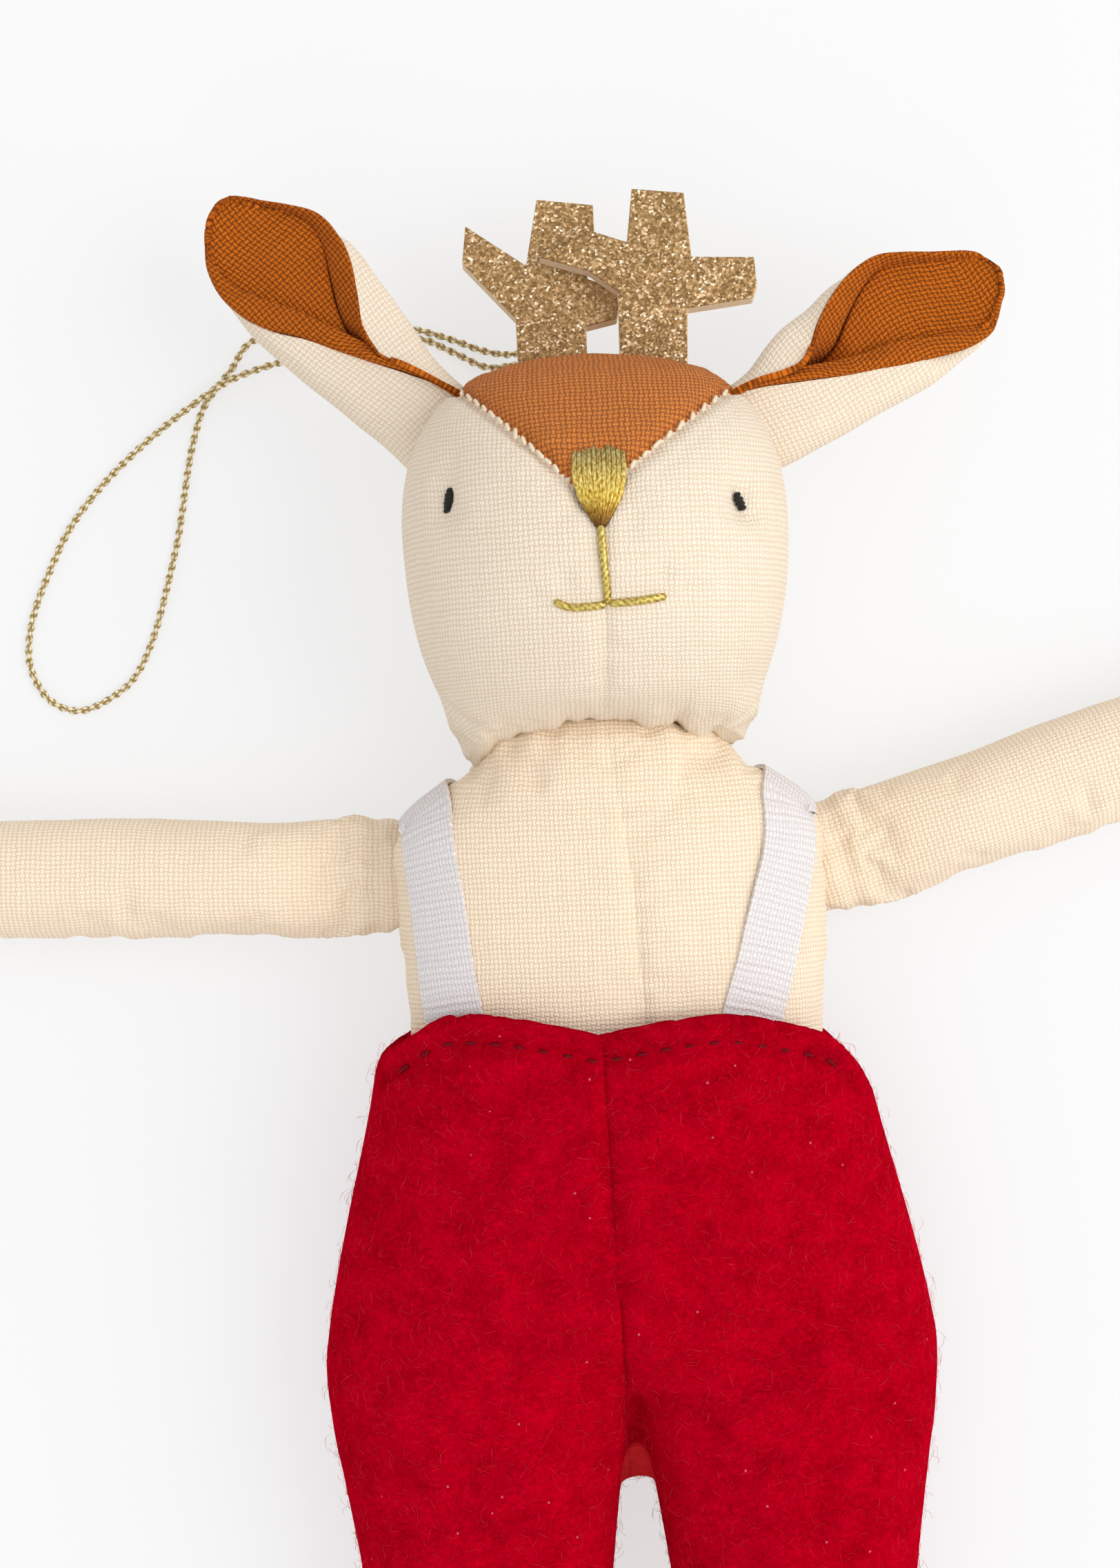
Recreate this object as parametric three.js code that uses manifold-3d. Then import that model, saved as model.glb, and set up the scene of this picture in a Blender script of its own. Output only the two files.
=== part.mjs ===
import * as THREE from 'three';
import { mergeVertices } from 'three/addons/utils/BufferGeometryUtils.js';
import Module from 'manifold-3d';

const wasm = await Module();
wasm.setup();

// A stuffed cloth reindeer that lies on its back. Lengths are millimetres, angles are degrees.
// X runs across the body, +Y towards the head, +Z out of the face. The origin is on the flat of the torso's back.

// Cloth, thread and clearances
const linenThickness = 0.6;
const feltThickness = 1.5;
const tapeThickness = 0.6;
const threadDiameter = 1;
const seatGap = 0.3;
const seamGap = 0.3;
const restCut = 0.5;
const overrun = 20;

// Lengths along the body, measured from the origin
const neckReach = 16.5;
const hipReach = 60;
const crownReach = 65;
const waistReach = 21.6;
const hemReach = 131;
const footReach = 153;

// Head: each row is length, half width, low side and high side, as shares of the head
const headHalfWidth = 23.2;
const headDepth = 48.3;
const headSquareness = 2.3;
const headShares = [
  [0, 0.69, 0.155, 0.59],
  [0.113, 0.835, 0.077, 0.776],
  [0.237, 0.93, 0.031, 0.907],
  [0.361, 0.98, 0.002, 0.975],
  [0.485, 1, 0, 1],
  [0.608, 1, 0.002, 0.985],
  [0.732, 0.955, 0.058, 0.934],
  [0.835, 0.856, 0.124, 0.857],
  [0.907, 0.72, 0.199, 0.772],
  [0.948, 0.586, 0.263, 0.698],
  [0.979, 0.412, 0.335, 0.615],
  [1, 0.13, 0.4, 0.52],
];

// Crown gusset: corners as shares of the half width and of the head's height
const gussetTipShares = [0.03, 0.66];
const gussetLeftShares = [-0.7, 0.915];
const gussetRightShares = [0.76, 0.885];
const gussetNeckWidth = 15;
const gussetNapeWidth = 18;
const gussetNapeShare = 0.72;
const gussetMitreShare = 1.3;

// Face stitching: places as shares of the half width and of the head's height
const noseWidth = 6.8;
const noseHeight = 8.4;
const noseThickness = 1.2;
const nosePlaceShares = [0.015, 0.613];
const noseRowShares = [
  [0, 0.86],
  [0.12, 1],
  [0.45, 0.92],
  [0.75, 0.62],
  [0.93, 0.3],
  [1, 0.14],
];
const mouthWidth = 13;
const mouthPlaceShares = [0.04, 0.337];
const mouthSag = 0.5;
const eyeWidth = 1.9;
const eyeHeight = 3.8;
const eyeThickness = 0.8;
const leftEyePlaceShares = [-0.77, 0.617];
const rightEyePlaceShares = [0.76, 0.58];
const eyeRowShares = [
  [0, 0.5],
  [0.25, 0.9],
  [0.5, 1],
  [0.75, 0.9],
  [1, 0.5],
];

// Ears: each row is length, flat width, curl and lean, the last two as shares of a full turn
const earFlatWidth = 24;
const earSeating = 7;
const earShares = [
  [0, 0.98, 0.72, 0.2],
  [0.18, 1, 0.66, 0.17],
  [0.38, 1, 0.53, 0.12],
  [0.58, 0.97, 0.38, 0.07],
  [0.78, 0.84, 0.26, 0.03],
  [0.92, 0.64, 0.2, 0.01],
  [1, 0.3, 0.16, 0],
];
const earSides = {
  left: { side: -1, length: 38.6, rise: 51.2, placeShares: [0.955, 0.829] },
  right: { side: 1, length: 35.2, rise: 27.9, placeShares: [0.95, 0.794] },
};

// Antlers: outline points as shares of the antler's height above the crown line
const antlerThickness = 2;
const antlerHeight = 20.5;
const antlerRoot = 4;
const antlerSpacing = 3.4;
const antlerLift = 16.8;
const antlerBaseReach = 64.8;
const antlers = {
  left: {
    rootShares: [-0.42, 0.01],
    level: 0,
    shares: [
      [0.01, 0.2], [0.2, 0.25], [0.24, 0.42], [0.03, 0.5], [0.09, 0.78], [0.09, 0.95],
      [-0.26, 1], [-0.34, 0.6], [-0.7, 0.86], [-0.73, 0.63], [-0.42, 0.28],
    ],
  },
  right: {
    rootShares: [0.2, 0.61],
    level: 1,
    shares: [
      [0.63, 0.27], [1.03, 0.31], [1.06, 0.39], [1.05, 0.56], [0.67, 0.58], [0.64, 0.97],
      [0.32, 1.01], [0.28, 0.69], [0.08, 0.76], [-0.26, 0.62], [0.04, 0.52], [0.21, 0.39],
    ],
  },
};

// Hanging cord: its route is a list of chosen points, knot to knot
const cordDiameter = 1;
const cordSides = 8;
const cordSteps = 72;
const knotRadius = 1.6;
const knotPlace = [-3.6, 60, 12.6];
const cordRoute = [
  [-3, 62, 12.6], [-3, 65.2, 12.4], [-4.2, 67.6, 9.2], [-6.6, 68.4, 4.4], [-9.8, 68.4, 1.4],
  [-13.2, 69.2, 0.55], [-17.4, 70.9, 0.55], [-23, 72.6, 0.55], [-32.9, 73.8, 0.55], [-42.8, 72.1, 0.55],
  [-46.4, 68.1, 0.55], [-49.9, 63.8, 0.55], [-51.4, 59.9, 0.55], [-52.5, 55.6, 0.55], [-53.7, 49.2, 0.55],
  [-54.8, 44.4, 0.55], [-57.8, 34.4, 0.55], [-60.6, 28.8, 0.55], [-64, 26, 0.55], [-68.1, 24.5, 0.55],
  [-71.7, 25.8, 0.55], [-73.9, 29, 0.55], [-74.5, 32.7, 0.55], [-73.5, 37.7, 0.55], [-70.9, 43.7, 0.55],
  [-68.1, 48.8, 0.55], [-63.4, 54.3, 0.7], [-57, 59.8, 1.2], [-49.6, 64.9, 1.75], [-45.4, 67.1, 1.75],
  [-39.1, 69, 1.1], [-30.3, 70.8, 0.6], [-22, 71.2, 0.55], [-17.4, 69.3, 0.55], [-13, 67, 0.9],
  [-9.4, 66.8, 2.6], [-6.4, 66.7, 6.8], [-4.6, 65.2, 11.4], [-4.3, 63.8, 12.6], [-4.2, 62, 12.6],
];

// Torso
const torsoHalfWidth = 27;
const torsoDepth = 29;
const torsoSquareness = 2.2;
const sideSeamLift = 13.5;
const torsoShares = [
  [0, 0.54, 0.24, 0.86],
  [0.03, 0.64, 0.16, 0.92],
  [0.06, 0.76, 0.1, 0.95],
  [0.09, 0.88, 0.06, 0.97],
  [0.12, 0.96, 0.03, 0.985],
  [0.16, 1.005, 0, 1],
  [0.24, 1.01, 0, 1],
  [0.33, 0.995, 0.06, 1],
  [0.39, 0.985, 0.16, 0.985],
  [0.47, 0.975, 0.18, 0.965],
  [0.62, 0.96, 0.18, 0.93],
  [0.8, 0.94, 0.16, 0.86],
  [1, 0.86, 0.17, 0.7],
];

// Straps: each row is the length along the torso and the turn from the middle of the front to the back
const strapWidth = 7.8;
const strapLift = 0.45;
const strapSteps = 30;
const strapShares = [
  [0.52, 0.235],
  [0.41, 0.26],
  [0.3, 0.277],
  [0.2, 0.3],
  [0.12, 0.345],
  [0.08, 0.42],
  [0.058, 0.5],
  [0.052, 0.6],
  [0.08, 0.7],
  [0.2, 0.765],
  [0.34, 0.785],
  [0.5, 0.785],
];

// Arms, in their own frame: +Y runs from the shoulder to the hand
const armHalfWidth = 7.6;
const armReach = 82;
const armThickness = 13;
const armRootThickness = 8;
const armLift = 2.7;
const armSquareness = 2.2;
const shoulderReach = 1.3;
const shoulderOutset = 2.4;
const armShares = [
  [0.19, 1, 1],
  [0.4, 1.01, 1],
  [0.66, 0.98, 0.98],
  [0.86, 0.95, 0.95],
  [0.94, 0.85, 0.85],
  [0.98, 0.62, 0.62],
  [1, 0.3, 0.3],
];
const armFlatLength = 5;
const armSides = {
  left: { side: -1, rise: 1.7 },
  right: { side: 1, rise: 15.6 },
};
const armRaised = 50;
const armLowered = -64;
const rootSteps = 4;
const swingSteps = 4;

// Trousers: each row is length, flare from the waist to the hips, low side and high side
const waistEase = 3.6;
const hemDepth = 5;
const hipHalfWidth = 39;
const trouserDepth = 33;
const trouserSquareness = 2.4;
const trouserShares = [
  [0, 0, 0.01, 0.985],
  [0.12, 0.055, 0, 1],
  [0.3, 0.255, 0, 0.985],
  [0.55, 0.51, 0, 0.92],
  [0.78, 0.8, 0, 0.83],
  [1, 1, 0, 0.742],
];
const waistTopReach = 14;
const waistEdgeShares = [
  [-1.2, 0.12], [-1, 0.3], [-0.9, 0.55], [-0.77, 0.95], [-0.6, 1], [-0.4, 0.88], [-0.06, 0.45],
  [0.2, 0.68], [0.45, 0.76], [0.67, 0.55], [0.84, 0.28], [1, 0.12], [1.2, 0],
];

// Trouser legs and legs: each row is length, middle, half width, low side and high side
const trouserLegDepth = 24.5;
const trouserLegShares = [
  [0, 1, 1, 0, 1],
  [0.12, 0.985, 0.985, 0, 0.985],
  [0.2, 0.99, 0.93, 0, 0.97],
  [0.4, 0.99, 0.82, 0, 0.94],
  [0.7, 1, 0.69, 0, 0.88],
  [1, 1.02, 0.57, 0, 0.82],
];
const legHalfWidth = 8.2;
const legDepth = 17.6;
const legSquareness = 2.2;
const legShares = [
  [0, 1, 1, 0.16, 1],
  [0.35, 1, 0.98, 0.16, 0.97],
  [0.75, 1.02, 0.95, 0.14, 0.93],
  [0.86, 1.02, 1, 0.03, 0.93],
  [0.94, 1.02, 0.9, 0, 0.86],
  [0.985, 1.02, 0.62, 0.1, 0.68],
  [1, 1.02, 0.3, 0.25, 0.5],
];
const hipPivotLift = 18;

// Facets round the forms
const around = 22;
const limbAround = 14;
const cutAround = 16;

// Angles
const halfTurn = Math.PI;
const radians = (degrees) => THREE.MathUtils.degToRad(degrees);
const signedPower = (value, exponent) => Math.sign(value) * Math.abs(value) ** exponent;

// A soft form is a list of sections along Y, each with its middle, half width, low side and high side
function softForm(rows, squareness) {
  return { rows, squareness };
}

// Reads one column of a form's rows at a place along Y, on a smooth curve through the rows
function readColumn(rows, name, y) {
  const forward = rows[rows.length - 1].y > rows[0].y;
  let next = 1;
  while (next < rows.length - 1 && (forward ? rows[next].y < y : rows[next].y > y)) next += 1;
  const slope = (index) => {
    const before = rows[Math.max(index - 1, 0)];
    const after = rows[Math.min(index + 1, rows.length - 1)];
    return (after[name] - before[name]) / (after.y - before.y);
  };
  const start = rows[next - 1];
  const end = rows[next];
  const span = end.y - start.y;
  const t = (y - start.y) / span;
  const startWeight = (1 + 2 * t) * (1 - t) ** 2;
  const endWeight = t * t * (3 - 2 * t);
  const bend = t * (1 - t) ** 2 * slope(next - 1) - t * t * (1 - t) * slope(next);
  return startWeight * start[name] + endWeight * end[name] + bend * span;
}

function sectionAt(form, y) {
  const low = readColumn(form.rows, 'low', y);
  const high = readColumn(form.rows, 'high', y);
  return {
    x: readColumn(form.rows, 'x', y),
    halfWidth: readColumn(form.rows, 'halfWidth', y),
    halfDepth: (high - low) / 2,
    middle: (high + low) / 2,
  };
}

function surfacePoint(form, angle, y) {
  const section = sectionAt(form, y);
  const exponent = 2 / form.squareness;
  return new THREE.Vector3(
    section.x + section.halfWidth * signedPower(Math.cos(angle), exponent),
    y,
    section.middle + section.halfDepth * signedPower(Math.sin(angle), exponent),
  );
}

// The outward normal comes from two short steps on the surface
function surfaceNormal(form, angle, y) {
  const angleStep = 0.02;
  const lengthStep = Math.abs(form.rows[form.rows.length - 1].y - form.rows[0].y) / 400;
  const across = surfacePoint(form, angle + angleStep, y).sub(surfacePoint(form, angle - angleStep, y));
  const along = surfacePoint(form, angle, y + lengthStep).sub(surfacePoint(form, angle, y - lengthStep));
  const normal = across.cross(along).normalize();
  const section = sectionAt(form, y);
  const outward = surfacePoint(form, angle, y).sub(new THREE.Vector3(section.x, y, section.middle));
  return normal.dot(outward) < 0 ? normal.negate() : normal;
}

// A positive depth goes into the form; what lies on the surface below is pressed flat there
function skinPoint(form, angle, y, depth) {
  const point = surfacePoint(form, angle, y).addScaledVector(surfaceNormal(form, angle, y), -depth);
  if (depth >= 0) point.z = Math.max(point.z, depth);
  return point;
}

// The angle round a form's section that faces a point
function angleTowards(form, point) {
  const section = sectionAt(form, point.y);
  const exponent = form.squareness / 2;
  return Math.atan2(
    signedPower((point.z - section.middle) / section.halfDepth, exponent),
    signedPower((point.x - section.x) / section.halfWidth, exponent),
  );
}

// The front of a form at a place across and along it, as an angle and a length
function frontPlace(form, x, y) {
  const section = sectionAt(form, y);
  return { angle: Math.acos(signedPower((x - section.x) / section.halfWidth, form.squareness / 2)), y };
}

// Closed meshes are collected as corners of triangles, then welded and turned outward
const weldDistance = seatGap / 300;
const sliverSize = seatGap / 8;

function quad(corners, a, b, c, d) {
  corners.push(a, b, c, a, c, d);
}

function weld(corners) {
  const geometry = new THREE.BufferGeometry();
  const places = corners.flatMap((p) => [p.x, p.y, p.z]);
  geometry.setAttribute('position', new THREE.Float32BufferAttribute(places, 3));
  const welded = mergeVertices(geometry, weldDistance);
  return signedVolume(welded) < 0 ? turnedOver(welded) : welded;
}

function signedVolume(geometry) {
  const position = geometry.attributes.position;
  const index = geometry.index.array;
  const corner = (i) => new THREE.Vector3().fromBufferAttribute(position, index[i]);
  let volume = 0;
  for (let i = 0; i < index.length; i += 3) {
    volume += corner(i).dot(corner(i + 1).cross(corner(i + 2))) / 6;
  }
  return volume;
}

function turnedOver(geometry) {
  const index = Array.from(geometry.index.array);
  for (let i = 0; i < index.length; i += 3) [index[i], index[i + 1]] = [index[i + 1], index[i]];
  geometry.setIndex(index);
  return geometry;
}

function toSolid(geometry) {
  const bare = new THREE.BufferGeometry();
  bare.setAttribute('position', geometry.attributes.position.clone());
  if (geometry.index) bare.setIndex(geometry.index.clone());
  const welded = mergeVertices(bare, weldDistance);
  return new wasm.Manifold(new wasm.Mesh({
    numProp: 3,
    vertProperties: new Float32Array(welded.attributes.position.array),
    triVerts: new Uint32Array(welded.index.array),
  }));
}

function toGeometry(solid) {
  const mesh = solid.getMesh();
  const geometry = new THREE.BufferGeometry();
  geometry.setAttribute('position', new THREE.BufferAttribute(mesh.vertProperties, mesh.numProp));
  geometry.setIndex(new THREE.BufferAttribute(mesh.triVerts, 1));
  return geometry;
}

// A closed solid lofted through a form's sections, sunk by a depth, with either end run on past the form
function loft(form, depth, sides, { startRun = 0, endRun = 0 } = {}) {
  const rows = form.rows;
  const forward = Math.sign(rows[rows.length - 1].y - rows[0].y);
  const rings = rows.map((row) => Array.from({ length: sides }, (_, i) => (
    skinPoint(form, (2 * halfTurn * i) / sides, row.y, depth))));
  if (startRun) rings.unshift(rings[0].map((p) => new THREE.Vector3(p.x, rows[0].y - forward * startRun, p.z)));
  if (endRun) {
    const last = rings[rings.length - 1];
    rings.push(last.map((p) => new THREE.Vector3(p.x, rows[rows.length - 1].y + forward * endRun, p.z)));
  }
  const corners = [];
  for (let j = 1; j < rings.length; j += 1) {
    for (let i = 0; i < sides; i += 1) {
      const k = (i + 1) % sides;
      quad(corners, rings[j - 1][i], rings[j - 1][k], rings[j][k], rings[j][i]);
    }
  }
  for (const [end, order] of [[rings[0], -1], [rings[rings.length - 1], 1]]) {
    const middle = end.reduce((sum, p) => sum.add(p), new THREE.Vector3()).divideScalar(sides);
    for (let i = 0; i < sides; i += 1) {
      const k = (i + 1) % sides;
      if (order > 0) corners.push(middle, end[i], end[k]);
      else corners.push(middle, end[k], end[i]);
    }
  }
  return toSolid(weld(corners));
}

// A solid moved by a frame
function placed(solid, frame) {
  return toSolid(toGeometry(solid).applyMatrix4(frame));
}

// A box between two corners, as a solid
function block(low, high) {
  const box = new THREE.BoxGeometry(high[0] - low[0], high[1] - low[1], high[2] - low[2]);
  box.translate((high[0] + low[0]) / 2, (high[1] + low[1]) / 2, (high[2] + low[2]) / 2);
  return toSolid(box);
}

// A closed outline raised along Z between two heights, as a solid
function prism(shape, low, high, curveSegments = 12) {
  const geometry = new THREE.ExtrudeGeometry(shape, { depth: high - low, bevelEnabled: false, curveSegments });
  geometry.translate(0, 0, low);
  return toSolid(geometry);
}

// Reach of the cuts, larger than the doll
const farX = hipHalfWidth + 2 * armReach;
const farY = footReach + crownReach;
const farZ = headDepth + overrun;
const leftOf = (x) => block([-farX, -farY, -farZ], [x, farY, farZ]);
const rightOf = (x) => block([x, -farY, -farZ], [farX, farY, farZ]);
const above = (z) => block([-farX, -farY, z], [farX, farY, farZ]);
const below = (z) => block([-farX, -farY, -farZ], [farX, farY, z]);

// A thin sheet on a grid of places, between two surfaces given by the two point functions
function sheet(columns, rows, lowPoint, highPoint) {
  const corners = [];
  const grid = (pointAt) => Array.from({ length: rows + 1 }, (_, j) => (
    Array.from({ length: columns + 1 }, (__, i) => pointAt(i / columns, j / rows))));
  const low = grid(lowPoint);
  const high = grid(highPoint);
  for (let j = 0; j < rows; j += 1) {
    for (let i = 0; i < columns; i += 1) {
      quad(corners, high[j][i], high[j][i + 1], high[j + 1][i + 1], high[j + 1][i]);
      quad(corners, low[j][i], low[j + 1][i], low[j + 1][i + 1], low[j][i + 1]);
    }
    quad(corners, low[j][0], high[j][0], high[j + 1][0], low[j + 1][0]);
    quad(corners, high[j][columns], low[j][columns], low[j + 1][columns], high[j + 1][columns]);
  }
  for (let i = 0; i < columns; i += 1) {
    quad(corners, low[0][i], low[0][i + 1], high[0][i + 1], high[0][i]);
    quad(corners, high[rows][i], high[rows][i + 1], low[rows][i + 1], low[rows][i]);
  }
  return toSolid(weld(corners));
}

// A round thread or cord along a curve
function strand(curve, diameter, sides, steps) {
  const section = new THREE.Shape(Array.from({ length: sides }, (_, i) => {
    const turn = (2 * halfTurn * (i + 0.5)) / sides;
    return new THREE.Vector2(Math.cos(turn), Math.sin(turn)).multiplyScalar(diameter / 2);
  }));
  return toSolid(new THREE.ExtrudeGeometry(section, { extrudePath: curve, steps, bevelEnabled: false }));
}

// Materials
const finish = (color, roughness, metalness = 0) => () => (
  new THREE.MeshStandardMaterial({ color, roughness, metalness }));
const creamLinen = finish(0xf1e2c6, 0.9);
const brownLinen = finish(0xa5541c, 0.9);
const redFelt = finish(0xb00a22, 0.95);
const whiteTape = finish(0xe6e4e8, 0.8);
const goldThread = finish(0xa8882c, 0.4, 0.8);
const blackThread = finish(0x20242c, 0.7);
const goldGlitter = finish(0xb8985c, 0.35, 0.7);
const fibreFill = finish(0xf7f5f0, 1);
const redThread = finish(0x9a0c20, 0.9);

const doll = new THREE.Group();

// The main body of a cut piece, without the crumbs and slivers that cutting along a surface leaves
function mainBody(solid) {
  const bodies = toSolid(toGeometry(solid)).decompose();
  return bodies.reduce((largest, body) => (body.volume() > largest.volume() ? body : largest)).simplify(sliverSize);
}

function addPiece(name, solid, material) {
  const mesh = new THREE.Mesh(toGeometry(mainBody(solid)), material());
  mesh.name = name;
  doll.add(mesh);
}

// Head
const headHeight = crownReach - neckReach;
const headLift = (share) => share * headDepth - restCut;
const headForm = softForm(headShares.map(([length, width, low, high]) => ({
  y: neckReach + length * headHeight,
  x: 0,
  halfWidth: width * headHalfWidth,
  low: headLift(low),
  high: headLift(high),
})), headSquareness);
const headY = (share) => neckReach + share * headHeight;
const headX = (share) => share * headHalfWidth;
const headOuter = loft(headForm, 0, around);
const headClearance = loft(headForm, -seatGap, around, { startRun: seatGap });

// The gusset's outline from the front, widened all round by a margin
function gussetFront(margin) {
  const tip = [headX(gussetTipShares[0]), headY(gussetTipShares[1]) - gussetMitreShare * margin];
  const left = [headX(gussetLeftShares[0]) - margin, headY(gussetLeftShares[1]) - margin];
  const right = [headX(gussetRightShares[0]) + margin, headY(gussetRightShares[1]) - margin];
  const onwards = (corner) => [2 * corner[0] - tip[0], 2 * corner[1] - tip[1]];
  const shape = new THREE.Shape();
  shape.moveTo(...tip);
  shape.lineTo(...onwards(right));
  shape.lineTo(headX(2) + margin, farY);
  shape.lineTo(headX(-2) - margin, farY);
  shape.lineTo(...onwards(left));
  shape.closePath();
  return shape;
}

// The gusset's outline from behind: it narrows over the crown and runs down to the neck
function gussetBack(margin) {
  const tip = [headX(gussetTipShares[0]), headY(gussetTipShares[1])];
  const corners = [gussetRightShares, gussetLeftShares].map(([x, y]) => (
    [headX(x) + Math.sign(x) * margin, headY(y) - margin]));
  const onwards = (corner) => [2 * corner[0] - tip[0], 2 * corner[1] - tip[1]];
  const nape = gussetNapeWidth / 2 + margin;
  const neck = gussetNeckWidth / 2 + margin;
  const shape = new THREE.Shape();
  shape.moveTo(neck, neckReach - overrun);
  shape.lineTo(nape, headY(gussetNapeShare));
  shape.lineTo(...corners[0]);
  shape.lineTo(...onwards(corners[0]));
  shape.lineTo(headX(2) + margin, farY);
  shape.lineTo(headX(-2) - margin, farY);
  shape.lineTo(...onwards(corners[1]));
  shape.lineTo(...corners[1]);
  shape.lineTo(-nape, headY(gussetNapeShare));
  shape.lineTo(-neck, neckReach - overrun);
  shape.closePath();
  return shape;
}

function gussetRegion(margin) {
  const split = headLift(0.5);
  return prism(gussetFront(margin), split, farZ).add(prism(gussetBack(margin), -farZ, split));
}

// Antler roots sit in slots under the crown's edge, and the cord's knot sits in a pocket below them
const antlerPlaces = Object.entries(antlers).map(([name, antler]) => ({
  name,
  antler,
  low: antlerLift - antlerThickness / 2 + antler.level * antlerSpacing,
}));

function antlerSlot({ antler, low }) {
  return block(
    [antler.rootShares[0] * antlerHeight - seatGap, antlerBaseReach - antlerRoot - seatGap, low - seatGap],
    [antler.rootShares[1] * antlerHeight + seatGap, farY, low + antlerThickness + seatGap],
  );
}

const knotPocket = new THREE.SphereGeometry(knotRadius + seatGap, 10, 8);
knotPocket.translate(...knotPlace);
const cordChannel = block(
  [knotPlace[0] - 1.5 * cordDiameter, knotPlace[1], knotPlace[2] - cordDiameter],
  [knotPlace[0] + 1.5 * cordDiameter, farY, knotPlace[2] + cordDiameter],
);
const crownCuts = antlerPlaces.map(antlerSlot).reduce((all, slot) => all.add(slot), cordChannel);

const headShell = headOuter.subtract(loft(headForm, linenThickness, around, { startRun: overrun }));
const sidePanels = headShell.subtract(gussetRegion(seamGap));
addPiece('head_side_left', sidePanels.intersect(leftOf(-seamGap / 2)), creamLinen);
addPiece('head_side_right', sidePanels.intersect(rightOf(seamGap / 2)), creamLinen);
addPiece('crown_gusset', headShell.intersect(gussetRegion(0)).subtract(crownCuts), brownLinen);
addPiece('head_stuffing', loft(headForm, linenThickness + seatGap, around)
  .subtract(crownCuts).subtract(toSolid(knotPocket)), fibreFill);

// Stitched face: patches and threads that lie on the cloth
function patch(form, placeShares, width, height, thickness, rowShares, columns) {
  const angleStep = 0.05;
  const centre = frontPlace(form, headX(placeShares[0]), headY(placeShares[1]));
  const rowAt = (v) => {
    const position = v * (rowShares.length - 1);
    const index = Math.min(Math.floor(position), rowShares.length - 2);
    const t = position - index;
    return [0, 1].map((column) => (
      rowShares[index][column] * (1 - t) + rowShares[index + 1][column] * t));
  };
  const speed = surfacePoint(form, centre.angle + angleStep, centre.y)
    .distanceTo(surfacePoint(form, centre.angle - angleStep, centre.y)) / (2 * angleStep);
  const pointAt = (lift) => (u, v) => {
    const [down, wide] = rowAt(v);
    const y = centre.y + height * (0.5 - down);
    const angle = centre.angle - ((u - 0.5) * width * wide) / speed;
    return skinPoint(form, angle, y, -lift);
  };
  return sheet(columns, rowShares.length - 1, pointAt(seatGap), pointAt(seatGap + thickness));
}

function threadOn(form, places, diameter, steps) {
  const points = places.map(([x, y]) => {
    const place = frontPlace(form, x, y);
    return skinPoint(form, place.angle, place.y, -(seatGap + diameter / 2));
  });
  return strand(new THREE.CatmullRomCurve3(points), diameter, 6, steps);
}

addPiece('nose_embroidery', patch(headForm, nosePlaceShares, noseWidth, noseHeight, noseThickness,
  noseRowShares, 6), goldThread);
addPiece('left_eye', patch(headForm, leftEyePlaceShares, eyeWidth, eyeHeight, eyeThickness,
  eyeRowShares, 3), blackThread);
addPiece('right_eye', patch(headForm, rightEyePlaceShares, eyeWidth, eyeHeight, eyeThickness,
  eyeRowShares, 3), blackThread);

const mouthX = headX(mouthPlaceShares[0]);
const mouthY = headY(mouthPlaceShares[1]);
const noseBottom = headY(nosePlaceShares[1]) - noseHeight / 2;
addPiece('mouth_stitch', threadOn(headForm, [
  [mouthX - mouthWidth / 2, mouthY + mouthSag],
  [mouthX - mouthWidth / 4, mouthY],
  [mouthX, mouthY],
  [mouthX + mouthWidth / 4, mouthY],
  [mouthX + mouthWidth / 2, mouthY + mouthSag],
], threadDiameter, 10), goldThread);
addPiece('lip_stitch', threadOn(headForm, [
  [mouthX / 2, noseBottom - seatGap],
  [mouthX, (noseBottom + mouthY) / 2],
  [mouthX, mouthY + threadDiameter / 2 + seatGap],
], threadDiameter, 8), goldThread);

// Ears: a cream outer and a brown lining, curled into a tube at the root and open at the tip
function earRow(share) {
  let next = 1;
  while (next < earShares.length - 1 && earShares[next][0] < share) next += 1;
  const [start, end] = [earShares[next - 1], earShares[next]];
  const t = (share - start[0]) / (end[0] - start[0]);
  return start.map((value, column) => value + (end[column] - value) * t);
}

const earRootRadius = (earFlatWidth * earShares[0][1]) / (2 * halfTurn * earShares[0][2]);

function earPlace({ side, rise, placeShares }) {
  const y = headY(placeShares[1]);
  const section = sectionAt(headForm, y);
  const direction = new THREE.Vector3(side * Math.cos(radians(rise)), Math.sin(radians(rise)), 0);
  return {
    root: new THREE.Vector3(side * section.halfWidth * placeShares[0], y, section.middle - earRootRadius / 2),
    direction,
    under: new THREE.Vector3(side * direction.y, -side * direction.x, 0),
  };
}

// A layer of an ear lies between two depths outside its middle surface and stops short of the rim by a margin
function earLayer(ear, innerDepth, outerDepth, margin) {
  const { root, direction, under } = earPlace(ear);
  const start = -earSeating / ear.length;
  const end = 1 - margin / ear.length;
  const pointAt = (depth) => (u, v) => {
    const share = start + (end - start) * v;
    const [, width, curl, lean] = earRow(Math.max(share, 0));
    const flat = earFlatWidth * width;
    const total = 2 * halfTurn * curl;
    const radius = flat / total;
    const turn = 2 * halfTurn * lean + (u - 0.5) * total * (1 - (2 * margin) / flat);
    const reach = radius + depth;
    return root.clone()
      .addScaledVector(direction, share * ear.length)
      .addScaledVector(under, reach * Math.sin(turn))
      .add(new THREE.Vector3(0, 0, radius - earRootRadius - reach * Math.cos(turn)));
  };
  return sheet(8, 7, pointAt(innerDepth), pointAt(outerDepth)).subtract(headClearance);
}

for (const [name, ear] of Object.entries(earSides)) {
  const layers = linenThickness + seatGap / 2;
  addPiece(`${name}_ear_outer`, earLayer(ear, seatGap / 2, layers, 0), creamLinen);
  addPiece(`${name}_ear_lining`, earLayer(ear, -layers, -seatGap / 2, linenThickness), brownLinen);
}

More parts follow.
